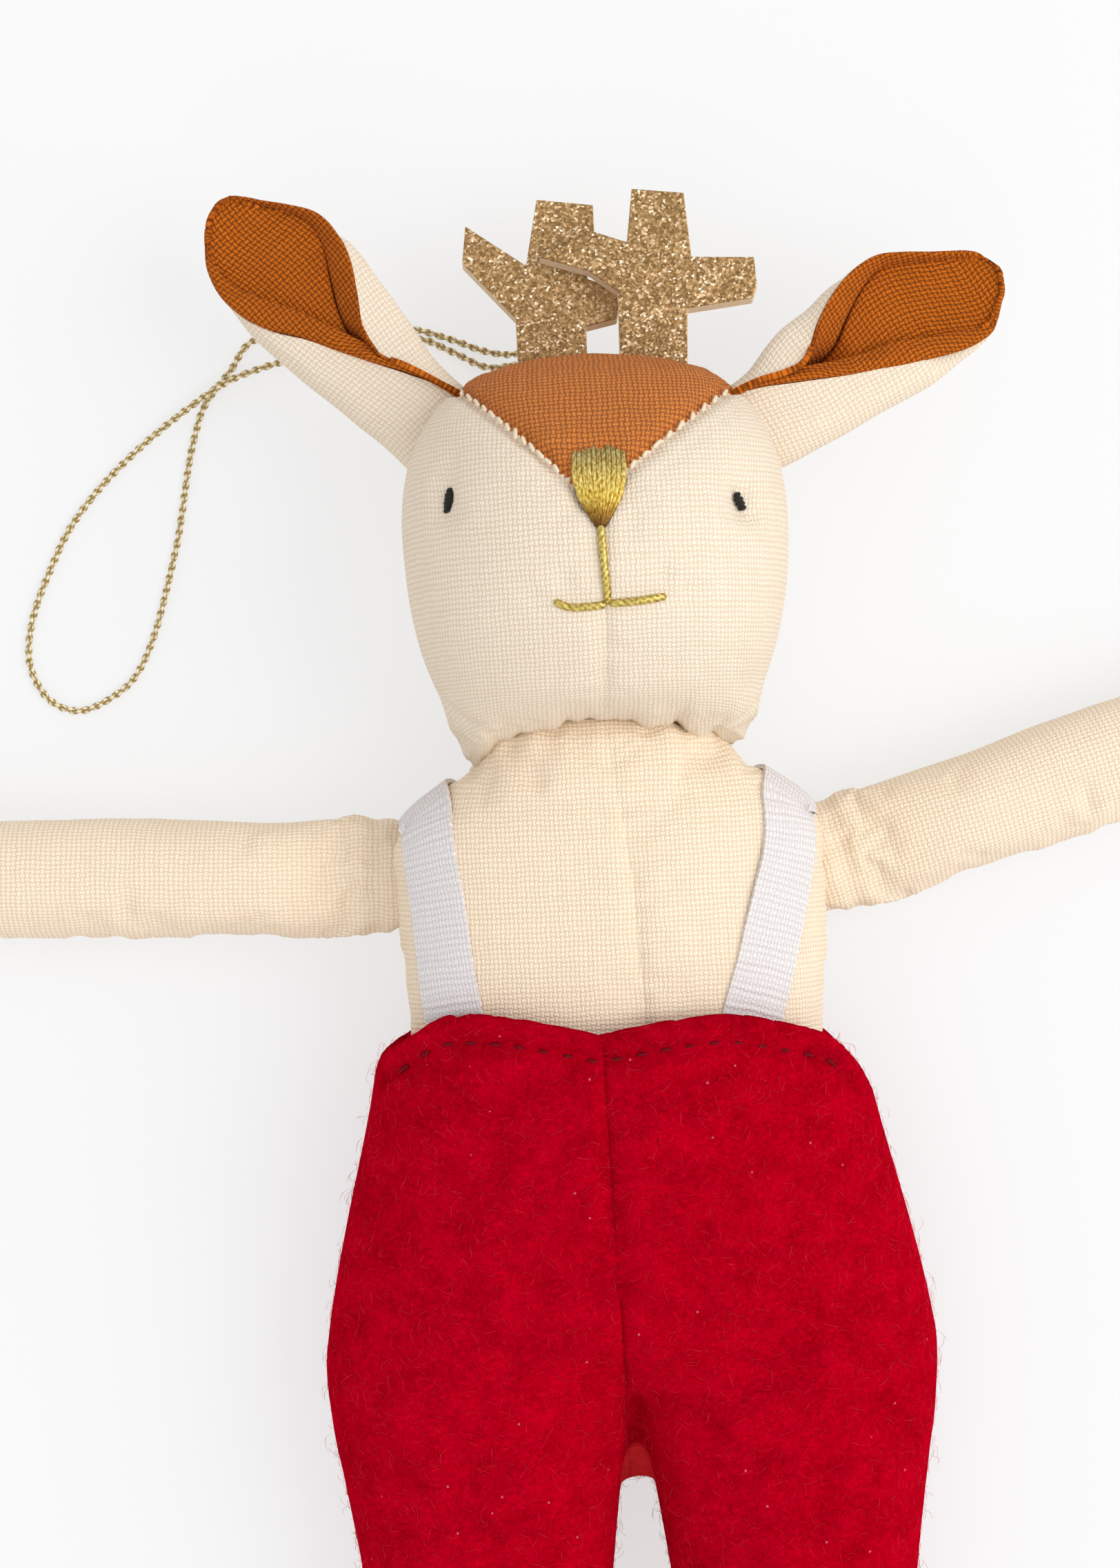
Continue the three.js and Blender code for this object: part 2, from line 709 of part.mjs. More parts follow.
// Antlers
for (const { name, antler, low } of antlerPlaces) {
  const [left, right] = antler.rootShares.map((share) => share * antlerHeight);
  const shape = new THREE.Shape();
  shape.moveTo(left, antlerBaseReach - antlerRoot);
  shape.lineTo(right, antlerBaseReach - antlerRoot);
  for (const [x, y] of antler.shares) shape.lineTo(x * antlerHeight, antlerBaseReach + y * antlerHeight);
  shape.closePath();
  addPiece(`${name}_antler`, prism(shape, low, low + antlerThickness), goldGlitter);
}

// Hanging cord
const knot = new THREE.SphereGeometry(knotRadius, 10, 8);
knot.translate(...knotPlace);
addPiece('cord_knot', toSolid(knot), goldThread);
const cordCurve = new THREE.CatmullRomCurve3(cordRoute.map((point) => new THREE.Vector3(...point)));
addPiece('hanging_cord', strand(cordCurve, cordDiameter, cordSides, cordSteps), goldThread);

// Torso
const torsoLength = neckReach + hipReach - seatGap;
const torsoLift = (share) => share * torsoDepth - restCut;
const torsoTop = neckReach - seatGap / 2;
const torsoForm = softForm(torsoShares.map(([length, width, low, high]) => ({
  y: torsoTop - length * torsoLength,
  x: 0,
  halfWidth: width * torsoHalfWidth,
  low: torsoLift(low),
  high: torsoLift(high),
})), torsoSquareness);

// Room that a raised leg needs in front of the hip line
const legFront = trouserLegDepth - restCut - hipPivotLift + seatGap;
const hipRoll = new THREE.CylinderGeometry(legFront, legFront, 2 * farX, cutAround);
hipRoll.rotateZ(halfTurn / 2);
hipRoll.translate(0, -hipReach, hipPivotLift);
const hipRoom = toSolid(hipRoll).add(block(
  [-farX, -farY, hipPivotLift],
  [farX, -hipReach + legFront, farZ],
)).add(block([-farX, -farY, -farZ], [farX, -hipReach + seamGap / 2, farZ]));

// Shoulder pockets: the room that the arm's round root sweeps
const shoulderX = torsoHalfWidth + shoulderOutset;
function armFrame({ side, rise }, angle = rise) {
  const frame = new THREE.Matrix4().makeRotationZ(side * radians(angle - 90));
  frame.setPosition(side * shoulderX, shoulderReach, 0);
  return frame;
}

function shoulderPocket(arm) {
  const reach = armHalfWidth + seatGap;
  const middle = armLift + armThickness / 2;
  const root = new THREE.Shape();
  root.moveTo(-reach, 0);
  root.absarc(0, 0, reach, halfTurn, 2 * halfTurn, false);
  root.lineTo(reach, 4 * armHalfWidth);
  root.lineTo(-reach, 4 * armHalfWidth);
  root.closePath();
  const thin = armRootThickness / 2 + seatGap;
  const thick = armThickness / 2 + seatGap;
  const one = prism(root, middle - thin, middle + thin, 8)
    .add(block([-reach, armFlatLength, middle - thick], [reach, 4 * armHalfWidth, middle + thick]));
  let room = null;
  for (let i = 0; i < swingSteps; i += 1) {
    const angle = armLowered + ((armRaised - armLowered) * i) / (swingSteps - 1);
    const turned = placed(one, armFrame(arm, angle));
    room = room ? room.add(turned) : turned;
  }
  return room;
}

const torsoCuts = headClearance.add(hipRoom)
  .add(shoulderPocket(armSides.left)).add(shoulderPocket(armSides.right));
const torsoShell = loft(torsoForm, 0, around)
  .subtract(loft(torsoForm, linenThickness, around, { startRun: overrun, endRun: overrun }))
  .subtract(torsoCuts);
const torsoFront = torsoShell.intersect(above(sideSeamLift + seamGap / 2));
addPiece('torso_front_left', torsoFront.intersect(leftOf(-seamGap / 2)), creamLinen);
addPiece('torso_front_right', torsoFront.intersect(rightOf(seamGap / 2)), creamLinen);
addPiece('torso_back', torsoShell.intersect(below(sideSeamLift - seamGap / 2)), creamLinen);
addPiece('torso_stuffing', loft(torsoForm, linenThickness + seatGap, around).subtract(torsoCuts), fibreFill);

// Straps go from inside the waist, over the shoulder and down the back
function strap(side) {
  const route = new THREE.CatmullRomCurve3(strapShares.map(([length, turn]) => surfacePoint(
    torsoForm, halfTurn / 2 - side * halfTurn * turn, torsoTop - length * torsoLength)));
  const pointAt = (lift) => (u, v) => {
    const middle = route.getPointAt(v);
    const normal = surfaceNormal(torsoForm, angleTowards(torsoForm, middle), middle.y);
    const across = route.getTangentAt(v).cross(normal).normalize();
    const point = middle.addScaledVector(across, (u - 0.5) * strapWidth);
    return skinPoint(torsoForm, angleTowards(torsoForm, point), point.y, -lift);
  };
  return sheet(2, strapSteps, pointAt(strapLift), pointAt(strapLift + tapeThickness));
}

addPiece('left_strap', strap(-1), whiteTape);
addPiece('right_strap', strap(1), whiteTape);

// Arms
const armRows = [
  ...Array.from({ length: rootSteps }, (_, i) => {
    const turn = ((i + 1) * halfTurn) / 2 / (rootSteps + 1);
    return {
      y: -armHalfWidth * Math.cos(turn),
      halfWidth: armHalfWidth * Math.sin(turn),
      thickness: armRootThickness,
    };
  }),
  { y: 0, halfWidth: armHalfWidth, thickness: armRootThickness },
  { y: armFlatLength, halfWidth: armHalfWidth, thickness: armRootThickness },
  ...armShares.map(([length, width, depth]) => (
    { y: length * armReach, halfWidth: width * armHalfWidth, thickness: depth * armThickness })),
];
const armMiddle = armLift + armThickness / 2;
const armForm = softForm(armRows.map(({ y, halfWidth, thickness }) => ({
  y,
  x: 0,
  halfWidth,
  low: armMiddle - thickness / 2,
  high: armMiddle + thickness / 2,
})), armSquareness);

for (const [name, arm] of Object.entries(armSides)) {
  const cloth = loft(armForm, 0, limbAround)
    .subtract(loft(armForm, linenThickness, limbAround, { startRun: overrun }));
  addPiece(`${name}_arm_cloth`, placed(cloth, armFrame(arm)), creamLinen);
  const stuffing = loft(armForm, linenThickness + seatGap, limbAround);
  addPiece(`${name}_arm_stuffing`, placed(stuffing, armFrame(arm)), fibreFill);
}

// Trouser seat, in two halves that meet at the centre seam
const waistHalfWidth = torsoHalfWidth + waistEase;
const seatLength = hipReach - waistTopReach;
const trouserLift = (share) => share * trouserDepth - restCut;
const seatForm = softForm(trouserShares.map(([length, flare, low, high]) => ({
  y: -waistTopReach - length * seatLength,
  x: 0,
  halfWidth: waistHalfWidth + flare * (hipHalfWidth - waistHalfWidth),
  low: trouserLift(low),
  high: trouserLift(high),
})), trouserSquareness);

// Everything headward of the wavy waist edge
function aboveWaist() {
  const rise = waistReach - waistTopReach;
  const edge = waistEdgeShares.map(([x, y]) => new THREE.Vector2(x * waistHalfWidth, -waistReach + y * rise));
  const shape = new THREE.Shape();
  shape.moveTo(edge[0].x, edge[0].y);
  shape.splineThru(edge.slice(1));
  shape.lineTo(farX, farY);
  shape.lineTo(-farX, farY);
  shape.closePath();
  return prism(shape, -farZ, farZ, 3);
}

const hemCut = -waistReach - hemDepth / 2;
const seatCavity = loft(seatForm, feltThickness, around, { startRun: overrun, endRun: overrun })
  .intersect(block([-farX, -farY, -farZ], [farX, hemCut, farZ]))
  .add(loft(seatForm, 2 * feltThickness, around, { startRun: overrun, endRun: overrun }));
const seatShell = loft(seatForm, 0, around)
  .subtract(seatCavity)
  .subtract(aboveWaist())
  .subtract(hipRoom);
addPiece('trouser_seat_left', seatShell.intersect(leftOf(-seamGap / 2)), redFelt);
addPiece('trouser_seat_right', seatShell.intersect(rightOf(seamGap / 2)), redFelt);

const hemThread = Array.from({ length: 13 }, (_, i) => {
  const angle = halfTurn * (0.08 + (0.84 * i) / 12);
  return skinPoint(seatForm, angle, hemCut + hemDepth / 5, -(seatGap + threadDiameter / 2));
});
addPiece('waist_hem_stitch', strand(new THREE.CatmullRomCurve3(hemThread), threadDiameter, 5, 24), redThread);

// Legs: felt trouser legs that turn with the stuffed legs inside them
const hipLine = -hipReach - seamGap / 2;
const legPitch = (hipHalfWidth + seatGap) / 2;
const trouserLegHalfWidth = (hipHalfWidth - seatGap) / 2;
const trouserLegForm = (side) => softForm(trouserLegShares.map(([length, middle, width, low, high]) => ({
  y: hipLine - length * (hemReach - hipReach),
  x: side * middle * legPitch,
  halfWidth: width * trouserLegHalfWidth,
  low: low * trouserLegDepth - restCut,
  high: high * trouserLegDepth - restCut,
})), trouserSquareness);
const legForm = (side) => softForm(legShares.map(([length, middle, width, low, high]) => ({
  y: hipLine - length * (footReach - hipReach),
  x: side * middle * legPitch,
  halfWidth: width * legHalfWidth,
  low: low * legDepth - restCut,
  high: high * legDepth - restCut,
})), legSquareness);

// The folded lip of felt at the top of a trouser leg, round about the hip's axis
function hipLip(form) {
  const roll = new THREE.CylinderGeometry(legFront - seatGap, legFront - seatGap, 2 * farX, cutAround);
  roll.rotateZ(halfTurn / 2);
  roll.translate(0, -hipReach, hipPivotLift);
  return loft(form, 0, around, { startRun: legFront })
    .intersect(toSolid(roll))
    .intersect(above(hipPivotLift));
}

for (const [name, side] of [['left', -1], ['right', 1]]) {
  const felt = trouserLegForm(side);
  const trouserLeg = loft(felt, 0, around)
    .subtract(loft(felt, feltThickness, around, { startRun: overrun, endRun: overrun }))
    .add(hipLip(felt));
  addPiece(`${name}_trouser_leg`, trouserLeg, redFelt);
  const leg = legForm(side);
  const cloth = loft(leg, 0, limbAround)
    .subtract(loft(leg, linenThickness, limbAround, { startRun: overrun }));
  addPiece(`${name}_leg_cloth`, cloth, creamLinen);
  addPiece(`${name}_leg_stuffing`, loft(leg, linenThickness + seatGap, limbAround), fibreFill);
}

export default doll;
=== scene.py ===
import math

import bpy
import numpy as np
from mathutils import Matrix, Vector, kdtree, noise


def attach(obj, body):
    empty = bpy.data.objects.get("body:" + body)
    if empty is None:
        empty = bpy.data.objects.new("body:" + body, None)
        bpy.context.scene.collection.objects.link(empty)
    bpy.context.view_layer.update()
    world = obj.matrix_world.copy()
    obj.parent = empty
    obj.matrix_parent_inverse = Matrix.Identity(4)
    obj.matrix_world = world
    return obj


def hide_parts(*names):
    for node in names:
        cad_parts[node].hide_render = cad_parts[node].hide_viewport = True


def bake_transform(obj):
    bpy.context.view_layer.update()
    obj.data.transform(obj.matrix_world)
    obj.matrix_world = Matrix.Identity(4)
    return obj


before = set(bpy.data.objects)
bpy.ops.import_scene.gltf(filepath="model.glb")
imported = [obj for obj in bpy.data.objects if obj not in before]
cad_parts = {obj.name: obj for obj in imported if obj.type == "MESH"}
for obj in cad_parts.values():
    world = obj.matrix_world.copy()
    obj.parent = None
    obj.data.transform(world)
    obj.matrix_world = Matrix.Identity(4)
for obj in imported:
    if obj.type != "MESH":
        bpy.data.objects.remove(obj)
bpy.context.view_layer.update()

# A stuffed cloth reindeer on its back: X runs across the body, +Y towards the head, +Z up from the face.
# Sizes are millimetres until a mesh is placed, and angles in the settings are degrees.
mm = 0.001
restCut = 0.5  # what the forms lose where they lie on the floor


# Selecting, reading and placing

def deselect():
    if bpy.context.object and bpy.context.object.mode != "OBJECT":
        bpy.ops.object.mode_set(mode="OBJECT")
    bpy.ops.object.select_all(action="DESELECT")


def choose(piece):
    deselect()
    piece.select_set(True)
    bpy.context.view_layer.objects.active = piece


def readAll(items, field, width=1, kind=float):
    # one field of every corner, side or face
    flat = np.empty(len(items) * width, kind)
    items.foreach_get(field, flat)
    return flat.reshape(-1, width) if width > 1 else flat


def pointsOf(piece):
    return readAll(piece.data.vertices, "co", 3) / mm


def faceCentres(piece):
    return readAll(piece.data.polygons, "center", 3) / mm


def faceNormals(piece):
    return readAll(piece.data.polygons, "normal", 3)


def placePoints(piece, points, lowest=None):
    if lowest is not None:
        points[:, 2] = np.maximum(points[:, 2], lowest)
    piece.data.vertices.foreach_set("co", (points * mm).ravel())
    piece.data.update()


def pushOut(piece, amounts, lowest=None):
    # each corner moves along its normal
    normals = readAll(piece.data.vertex_normals, "vector", 3)
    placePoints(piece, pointsOf(piece) + normals * amounts[:, None], lowest)


def rowNoise(points, size, seed):
    # smooth noise from -1 to 1 at each point, with features about as large as size
    return np.array([noise.noise(Vector(p) / size + Vector((seed, 0.37 * seed, 0))) for p in points])


def useModifier(piece, kind, **settings):
    choose(piece)
    modifier = piece.modifiers.new(kind.title(), kind)
    for key, value in settings.items():
        setattr(modifier, key, value)
    bpy.ops.object.modifier_apply(modifier=modifier.name)


# Forms: rows of length, middle, half width, low side and high side, read on a smooth curve

def form(rows, squareness, cut=0.0):
    y, x, halfWidth, low, high = np.array(sorted(rows), float).T
    return {"y": y, "x": x, "halfWidth": halfWidth, "low": low - cut, "high": high - cut,
            "squareness": squareness}


def shareForm(settings, side=0):
    # each row is a share of the length, the shift to the side (limbs only), the half width and the depth, twice
    return form([(settings["start"] + run * settings["length"], side * sum(shift) * settings.get("apart", 0),
                  wide * settings["halfWidth"], low * settings["depth"], high * settings["depth"])
                 for run, *shift, wide, low, high in settings["rows"]], settings["squareness"], restCut)


def readColumn(shape, name, at):
    y, values = shape["y"], shape[name]
    before = np.maximum(np.arange(len(y)) - 1, 0)
    after = np.minimum(np.arange(len(y)) + 1, len(y) - 1)
    slopes = (values[after] - values[before]) / (y[after] - y[before])
    k = np.clip(np.searchsorted(y, at, side="right") - 1, 0, len(y) - 2)
    span = y[k + 1] - y[k]
    t = (at - y[k]) / span
    return ((1 + 2 * t) * (1 - t) ** 2 * values[k] + t * t * (3 - 2 * t) * values[k + 1]
            + span * (t * (1 - t) ** 2 * slopes[k] - t * t * (1 - t) * slopes[k + 1]))


def signedPower(value, exponent):
    return np.sign(value) * np.abs(value) ** exponent


def sectionAt(shape, y):
    # middle in x and z, half width and half height
    low, high = readColumn(shape, "low", y), readColumn(shape, "high", y)
    return readColumn(shape, "x", y), (low + high) / 2, readColumn(shape, "halfWidth", y), (high - low) / 2


def formPoints(shape, angle, y):
    middleX, middleZ, halfWidth, halfHeight = sectionAt(shape, y)
    power = 2 / shape["squareness"]
    x = middleX + halfWidth * signedPower(np.cos(angle), power)
    z = middleZ + halfHeight * signedPower(np.sin(angle), power)
    return np.stack([x, y, np.maximum(z, 0)], axis=-1)


def frontAngle(shape, x, y):
    middleX, _, halfWidth, _ = sectionAt(shape, y)
    return np.arccos(signedPower(np.clip((x - middleX) / halfWidth, -1, 1), shape["squareness"] / 2))


def angleOn(shape, points):
    middleX, middleZ, halfWidth, halfHeight = sectionAt(shape, points[..., 1])
    power = shape["squareness"] / 2
    return np.arctan2(signedPower((points[..., 2] - middleZ) / halfHeight, power),
                      signedPower((points[..., 0] - middleX) / halfWidth, power))


def onFront(shape, x, y, lift=0.0):
    x, y = np.broadcast_arrays(np.asarray(x, float), np.asarray(y, float))
    return liftedPoints(shape, frontAngle(shape, x, y), y, lift)


def liftedPoints(shape, angle, y, lift):
    step, stride = 0.02, (shape["y"][-1] - shape["y"][0]) / 400
    across = formPoints(shape, angle + step, y) - formPoints(shape, angle - step, y)
    along = formPoints(shape, angle, y + stride) - formPoints(shape, angle, y - stride)
    normal = np.cross(along, across)
    normal /= np.maximum(np.linalg.norm(normal, axis=-1, keepdims=True), 1e-9)
    point = formPoints(shape, angle, y)
    middleX, middleZ, _, _ = sectionAt(shape, y)
    outward = point - np.stack([middleX, y, middleZ], axis=-1)
    normal *= np.sign(np.sum(normal * outward, axis=-1, keepdims=True) + 1e-12)
    return point + normal * lift


def sideLine(shape, height, side, count=120):
    # the line at this height along one side of a form
    y = np.linspace(shape["y"][0] + 1, shape["y"][-1] - 1, count)
    _, middleZ, _, halfHeight = sectionAt(shape, y)
    angle = np.arcsin(signedPower(np.clip((height - middleZ) / halfHeight, -1, 1), shape["squareness"] / 2))
    return formPoints(shape, angle if side > 0 else math.pi - angle, y)


# Cloth: a flat grid that is wrapped onto a surface, and keeps its flat measures in millimetres as its UV map

def wrapGrid(name, across, along, surface, centre=0.5):
    deselect()
    bpy.ops.mesh.primitive_grid_add(x_subdivisions=across, y_subdivisions=along, size=2)
    piece = bpy.context.object
    piece.name = piece.data.name = name
    unit = pointsOf(piece) * mm
    points = surface((unit[:, 0] + 1) / 2, (unit[:, 1] + 1) / 2)
    placePoints(piece, points)
    grid = points.reshape(along + 1, across + 1, 3)
    middle = round(centre * across)
    widths = np.zeros((along + 1, across + 1))
    widths[:, 1:] = np.cumsum(np.linalg.norm(np.diff(grid, axis=1), axis=2), axis=1)
    widths -= widths[:, middle:middle + 1]
    lengths = np.zeros(along + 1)
    lengths[1:] = np.cumsum(np.linalg.norm(np.diff(grid[:, middle], axis=0), axis=1))
    pattern = np.stack([widths, np.broadcast_to(lengths[:, None], widths.shape)], axis=-1).reshape(-1, 2)
    corners = readAll(piece.data.loops, "vertex_index", kind=int)
    layer = piece.data.uv_layers[0]
    layer.name = "cloth"
    layer.data.foreach_set("uv", pattern[corners].ravel())
    return piece


def closeTube(piece, fillEnds=True, merge=0.01):
    choose(piece)
    bpy.ops.object.mode_set(mode="EDIT")
    bpy.ops.mesh.select_all(action="SELECT")
    bpy.ops.mesh.remove_doubles(threshold=merge * mm)
    if fillEnds:
        bpy.ops.mesh.select_all(action="DESELECT")
        bpy.ops.mesh.select_mode(type="EDGE")
        bpy.ops.mesh.select_non_manifold()
        bpy.ops.mesh.fill_holes(sides=0)
    bpy.ops.mesh.select_all(action="SELECT")
    bpy.ops.mesh.normals_make_consistent(inside=False)
    leaveEditMode()


def leaveEditMode():
    bpy.ops.mesh.select_mode(type="VERT")
    bpy.ops.object.mode_set(mode="OBJECT")


def roundedRun(v):
    # rows closer together at both ends
    return 0.5 - 0.5 * np.cos(math.pi * v)


def wrapForm(name, shape, across, along):
    start, end = shape["y"][0], shape["y"][-1]

    def surface(u, v):
        return formPoints(shape, np.radians(-90 + 360 * u), start + (end - start) * roundedRun(v))

    piece = wrapGrid(name, across, along, surface)
    closeTube(piece)
    return piece


def nearLine(points, line, reach):
    # distance to a line of points and the length along it, for the points within reach of it
    low, high = line.min(axis=0) - reach, line.max(axis=0) + reach
    index = np.nonzero(np.all((points > low) & (points < high), axis=1))[0]
    distance = np.full(len(points), 1e9)
    place = np.zeros(len(points))
    starts, steps = line[:-1], np.diff(line, axis=0)
    spans = np.maximum(np.linalg.norm(steps, axis=1), 1e-9)
    walked = np.concatenate([[0], np.cumsum(spans)[:-1]])
    for chunk in np.array_split(index, max(1, len(index) // 4000)):
        away = points[chunk][:, None, :] - starts[None]
        t = np.clip(np.sum(away * steps[None], axis=2) / spans ** 2, 0, 1)
        gaps = np.linalg.norm(away - t[..., None] * steps[None], axis=2)
        best = np.argmin(gaps, axis=1)
        rows = np.arange(len(chunk))
        distance[chunk] = gaps[rows, best]
        place[chunk] = walked[best] + t[rows, best] * spans[best]
    return distance, place


def sewSeam(piece, line, depth, width, pucker, pitch, reach, seed):
    # the cloth dives into the seam, and small gathers run away from it
    distance, place = nearLine(pointsOf(piece), line, max(reach * 2, width * 3))
    sink = depth * np.exp(-(distance / width) ** 2)
    ripple = np.array([noise.noise(Vector((s / pitch, d * 0.12, seed))) for s, d in zip(place, distance)])
    sink += pucker * ripple * np.exp(-distance / reach) * (distance < reach * 6)
    sink[distance > 1e8] = 0
    pushOut(piece, -sink, lowest=0)


def dimple(piece, centre, depth, size):
    distance = np.linalg.norm(pointsOf(piece) - centre, axis=1)
    pushOut(piece, -depth * np.exp(-(distance / size) ** 2))


def lumps(piece, height, size, seed):
    # slow unevenness of the stuffing under the cloth
    pushOut(piece, height * rowNoise(pointsOf(piece), size, seed), lowest=0)


def stuffTight(piece, shape, across, along, seams, heldWithin, slack, most):
    # in a short cloth simulation the filling presses a coarse copy of the cover outwards, and the cover follows.
    # The copy is ten times as large, because cloth this small hardly answers to pressure.
    coarse = wrapForm("pressed_cover", shape, across, along)
    rest = pointsOf(coarse)
    seams = np.vstack(seams)
    gaps = np.array([np.min(np.sum((seams - point) ** 2, axis=1)) for point in rest]) ** 0.5
    held = (gaps < heldWithin) | (rest[:, 2] < 0.6) | (rest[:, 1] < shape["y"][0] + 2) | (
        rest[:, 1] > shape["y"][-1] - 2)
    enlarged, frames = 10, 20
    placePoints(coarse, rest * enlarged)
    group = coarse.vertex_groups.new(name="held")
    group.add([int(k) for k in np.nonzero(held)[0]], 1.0, "REPLACE")
    cloth = coarse.modifiers.new("Cover", "CLOTH")
    cloth.settings.quality = 6
    cloth.settings.use_pressure = True
    cloth.settings.uniform_pressure_force = 4
    cloth.settings.shrink_min = -slack
    cloth.settings.vertex_group_mass = "held"
    cloth.settings.effector_weights.gravity = 0
    for frameNumber in range(1, frames + 1):
        bpy.context.scene.frame_set(frameNumber)
    choose(coarse)
    bpy.ops.object.modifier_apply(modifier=cloth.name)
    moved = pointsOf(coarse) / enlarged - rest
    bpy.context.scene.frame_set(1)
    size = np.linalg.norm(moved, axis=1)
    moved *= (np.minimum(size, most) / np.maximum(size, 1e-6))[:, None]
    tree = kdtree.KDTree(len(rest))
    for k, point in enumerate(rest):
        tree.insert(point, k)
    tree.balance()
    points = pointsOf(piece)
    shift = np.zeros_like(points)
    for k, point in enumerate(points):
        near = tree.find_n(point, 4)
        weights = np.array([1 / (gap + 0.05) ** 2 for _, _, gap in near])
        shift[k] = weights @ moved[[index for _, index, _ in near]] / weights.sum()
    placePoints(piece, points + shift, lowest=0)
    deselect()
    bpy.data.objects.remove(coarse)
    print(piece.name, "swelled by up to", round(float(size.max()), 2), "mm, mostly",
          round(float(np.median(size)), 2))


def selectFaces(piece, wanted):
    # an operator in edit mode reads faces, edges and corners, so all three are chosen
    choose(piece)
    bpy.ops.object.mode_set(mode="EDIT")
    bpy.ops.mesh.select_mode(type="FACE")
    bpy.ops.mesh.select_all(action="DESELECT")
    bpy.ops.object.mode_set(mode="OBJECT")
    mesh = piece.data
    wanted = np.asarray(wanted, bool)
    held = np.repeat(wanted, readAll(mesh.polygons, "loop_total", kind=int))
    for items, field in ((mesh.vertices, "vertex_index"), (mesh.edges, "edge_index")):
        chosen = np.zeros(len(items), bool)
        chosen[readAll(mesh.loops, field, kind=int)[held]] = True
        items.foreach_set("select", chosen)
    mesh.polygons.foreach_set("select", wanted)
    bpy.ops.object.mode_set(mode="EDIT")


def cutAlong(piece, point, direction, where=None):
    # cuts the faces that where picks in the plane through the point and at right angles to the direction
    centres = faceCentres(piece)
    selectFaces(piece, np.ones(len(centres)) if where is None else where(centres))
    bpy.ops.mesh.bisect(plane_co=[c * mm for c in point], plane_no=Vector(direction).normalized(),
                        threshold=0.001 * mm)
    leaveEditMode()


def splitOff(piece, name, wanted):
    # the faces that are wanted become a piece of their own
    selectFaces(piece, wanted)
    bpy.ops.mesh.separate(type="SELECTED")
    leaveEditMode()
    made = next(o for o in bpy.context.selected_objects if o != piece)
    made.name = made.data.name = name
    return made


def dropFaces(piece, unwanted):
    selectFaces(piece, unwanted)
    bpy.ops.mesh.delete(type="FACE")
    leaveEditMode()


def thicken(piece, thickness):
    useModifier(piece, "SOLIDIFY", thickness=thickness * mm, offset=-1.0)
    crispShade(piece)


def crispShade(piece):
    # smooth cloth with crisp cut edges, so a seam shows as a groove and not as a dark border
    choose(piece)
    bpy.ops.object.shade_smooth_by_angle(angle=math.radians(50))


# Threads and cords: a grid wrapped round a smooth line

def smoothLine(points, count):
    # Catmull-Rom through the points, at even steps
    points = np.asarray(points, float)
    padded = np.vstack([2 * points[0] - points[1], points, 2 * points[-1] - points[-2]])
    dense = []
    for k in range(len(points) - 1):
        a, b, c, d = padded[k:k + 4]
        for t in np.linspace(0, 1, 24, endpoint=False):
            dense.append(0.5 * (2 * b + (c - a) * t + (2 * a - 5 * b + 4 * c - d) * t ** 2
                                + (3 * b - a - 3 * c + d) * t ** 3))
    dense = np.array(dense + [points[-1]])
    walked = np.concatenate([[0], np.cumsum(np.linalg.norm(np.diff(dense, axis=0), axis=1))])
    at = np.linspace(0, walked[-1], count)
    return np.stack([np.interp(at, walked, dense[:, k]) for k in range(3)], axis=1)


def lineFrames(line):
    # side and up of each point, without sudden turns
    tangents = np.gradient(line, axis=0)
    tangents /= np.linalg.norm(tangents, axis=1, keepdims=True)
    up = np.array([0, 0, 1.0]) if abs(tangents[0][2]) < 0.9 else np.array([0, 1.0, 0])
    sides, ups = [], []
    for tangent in tangents:
        up = up - tangent * np.dot(up, tangent)
        up /= np.linalg.norm(up)
        ups.append(up)
        sides.append(np.cross(tangent, up))
    return np.array(sides), np.array(ups)


def wrapTube(name, line, sides, ups, radii, around):
    # a closed tube round the line, with a radius for each of its points
    def surface(u, v):
        k = np.round(v * (len(line) - 1)).astype(int)
        turn = 2 * math.pi * u
        return line[k] + radii[k, None] * (np.cos(turn)[:, None] * sides[k] + np.sin(turn)[:, None] * ups[k])

    piece = wrapGrid(name, around, len(line) - 1, surface)
    closeTube(piece)
    piece.data.shade_smooth()
    return piece


def thread(name, points, diameter, around=8, density=3.0):
    # round at both ends, with density rings in one diameter of length
    points = np.asarray(points, float)
    length = np.sum(np.linalg.norm(np.diff(points, axis=0), axis=1))
    count = max(6, int(length / diameter * density))
    line = smoothLine(points, count + 1)
    v = np.linspace(0, 1, count + 1)
    fromEnd = np.clip(np.minimum(v, 1 - v) * length / (diameter / 2), 0, 1)
    radii = diameter / 2 * np.sqrt(np.clip(1 - (1 - fromEnd) ** 2, 0.02, 1))
    return wrapTube(name, line, *lineFrames(line), radii, around)


def joinAll(pieces, name):
    deselect()
    for piece in pieces:
        piece.select_set(True)
    bpy.context.view_layer.objects.active = pieces[0]
    if len(pieces) > 1:
        bpy.ops.object.join()
    made = bpy.context.object
    made.name = made.data.name = name
    return made


# Materials

def linear(hexColour):
    # an sRGB hex colour as linear red, green, blue and alpha
    channels = [int(hexColour[k:k + 2], 16) / 255 for k in (1, 3, 5)]
    return [c / 12.92 if c <= 0.04045 else ((c + 0.055) / 1.055) ** 2.4 for c in channels] + [1]


def addNode(tree, kind, inputs=None, output=0, **settings):
    # sets or joins the inputs of a new node and gives back one of its outputs
    node = tree.nodes.new("ShaderNode" + kind)
    for key, value in settings.items():
        setattr(node, key, value)
    for key, value in (inputs or {}).items():
        if isinstance(value, bpy.types.NodeSocket):
            tree.links.new(value, node.inputs[key])
        else:
            node.inputs[key].default_value = value
    return node.outputs[output]


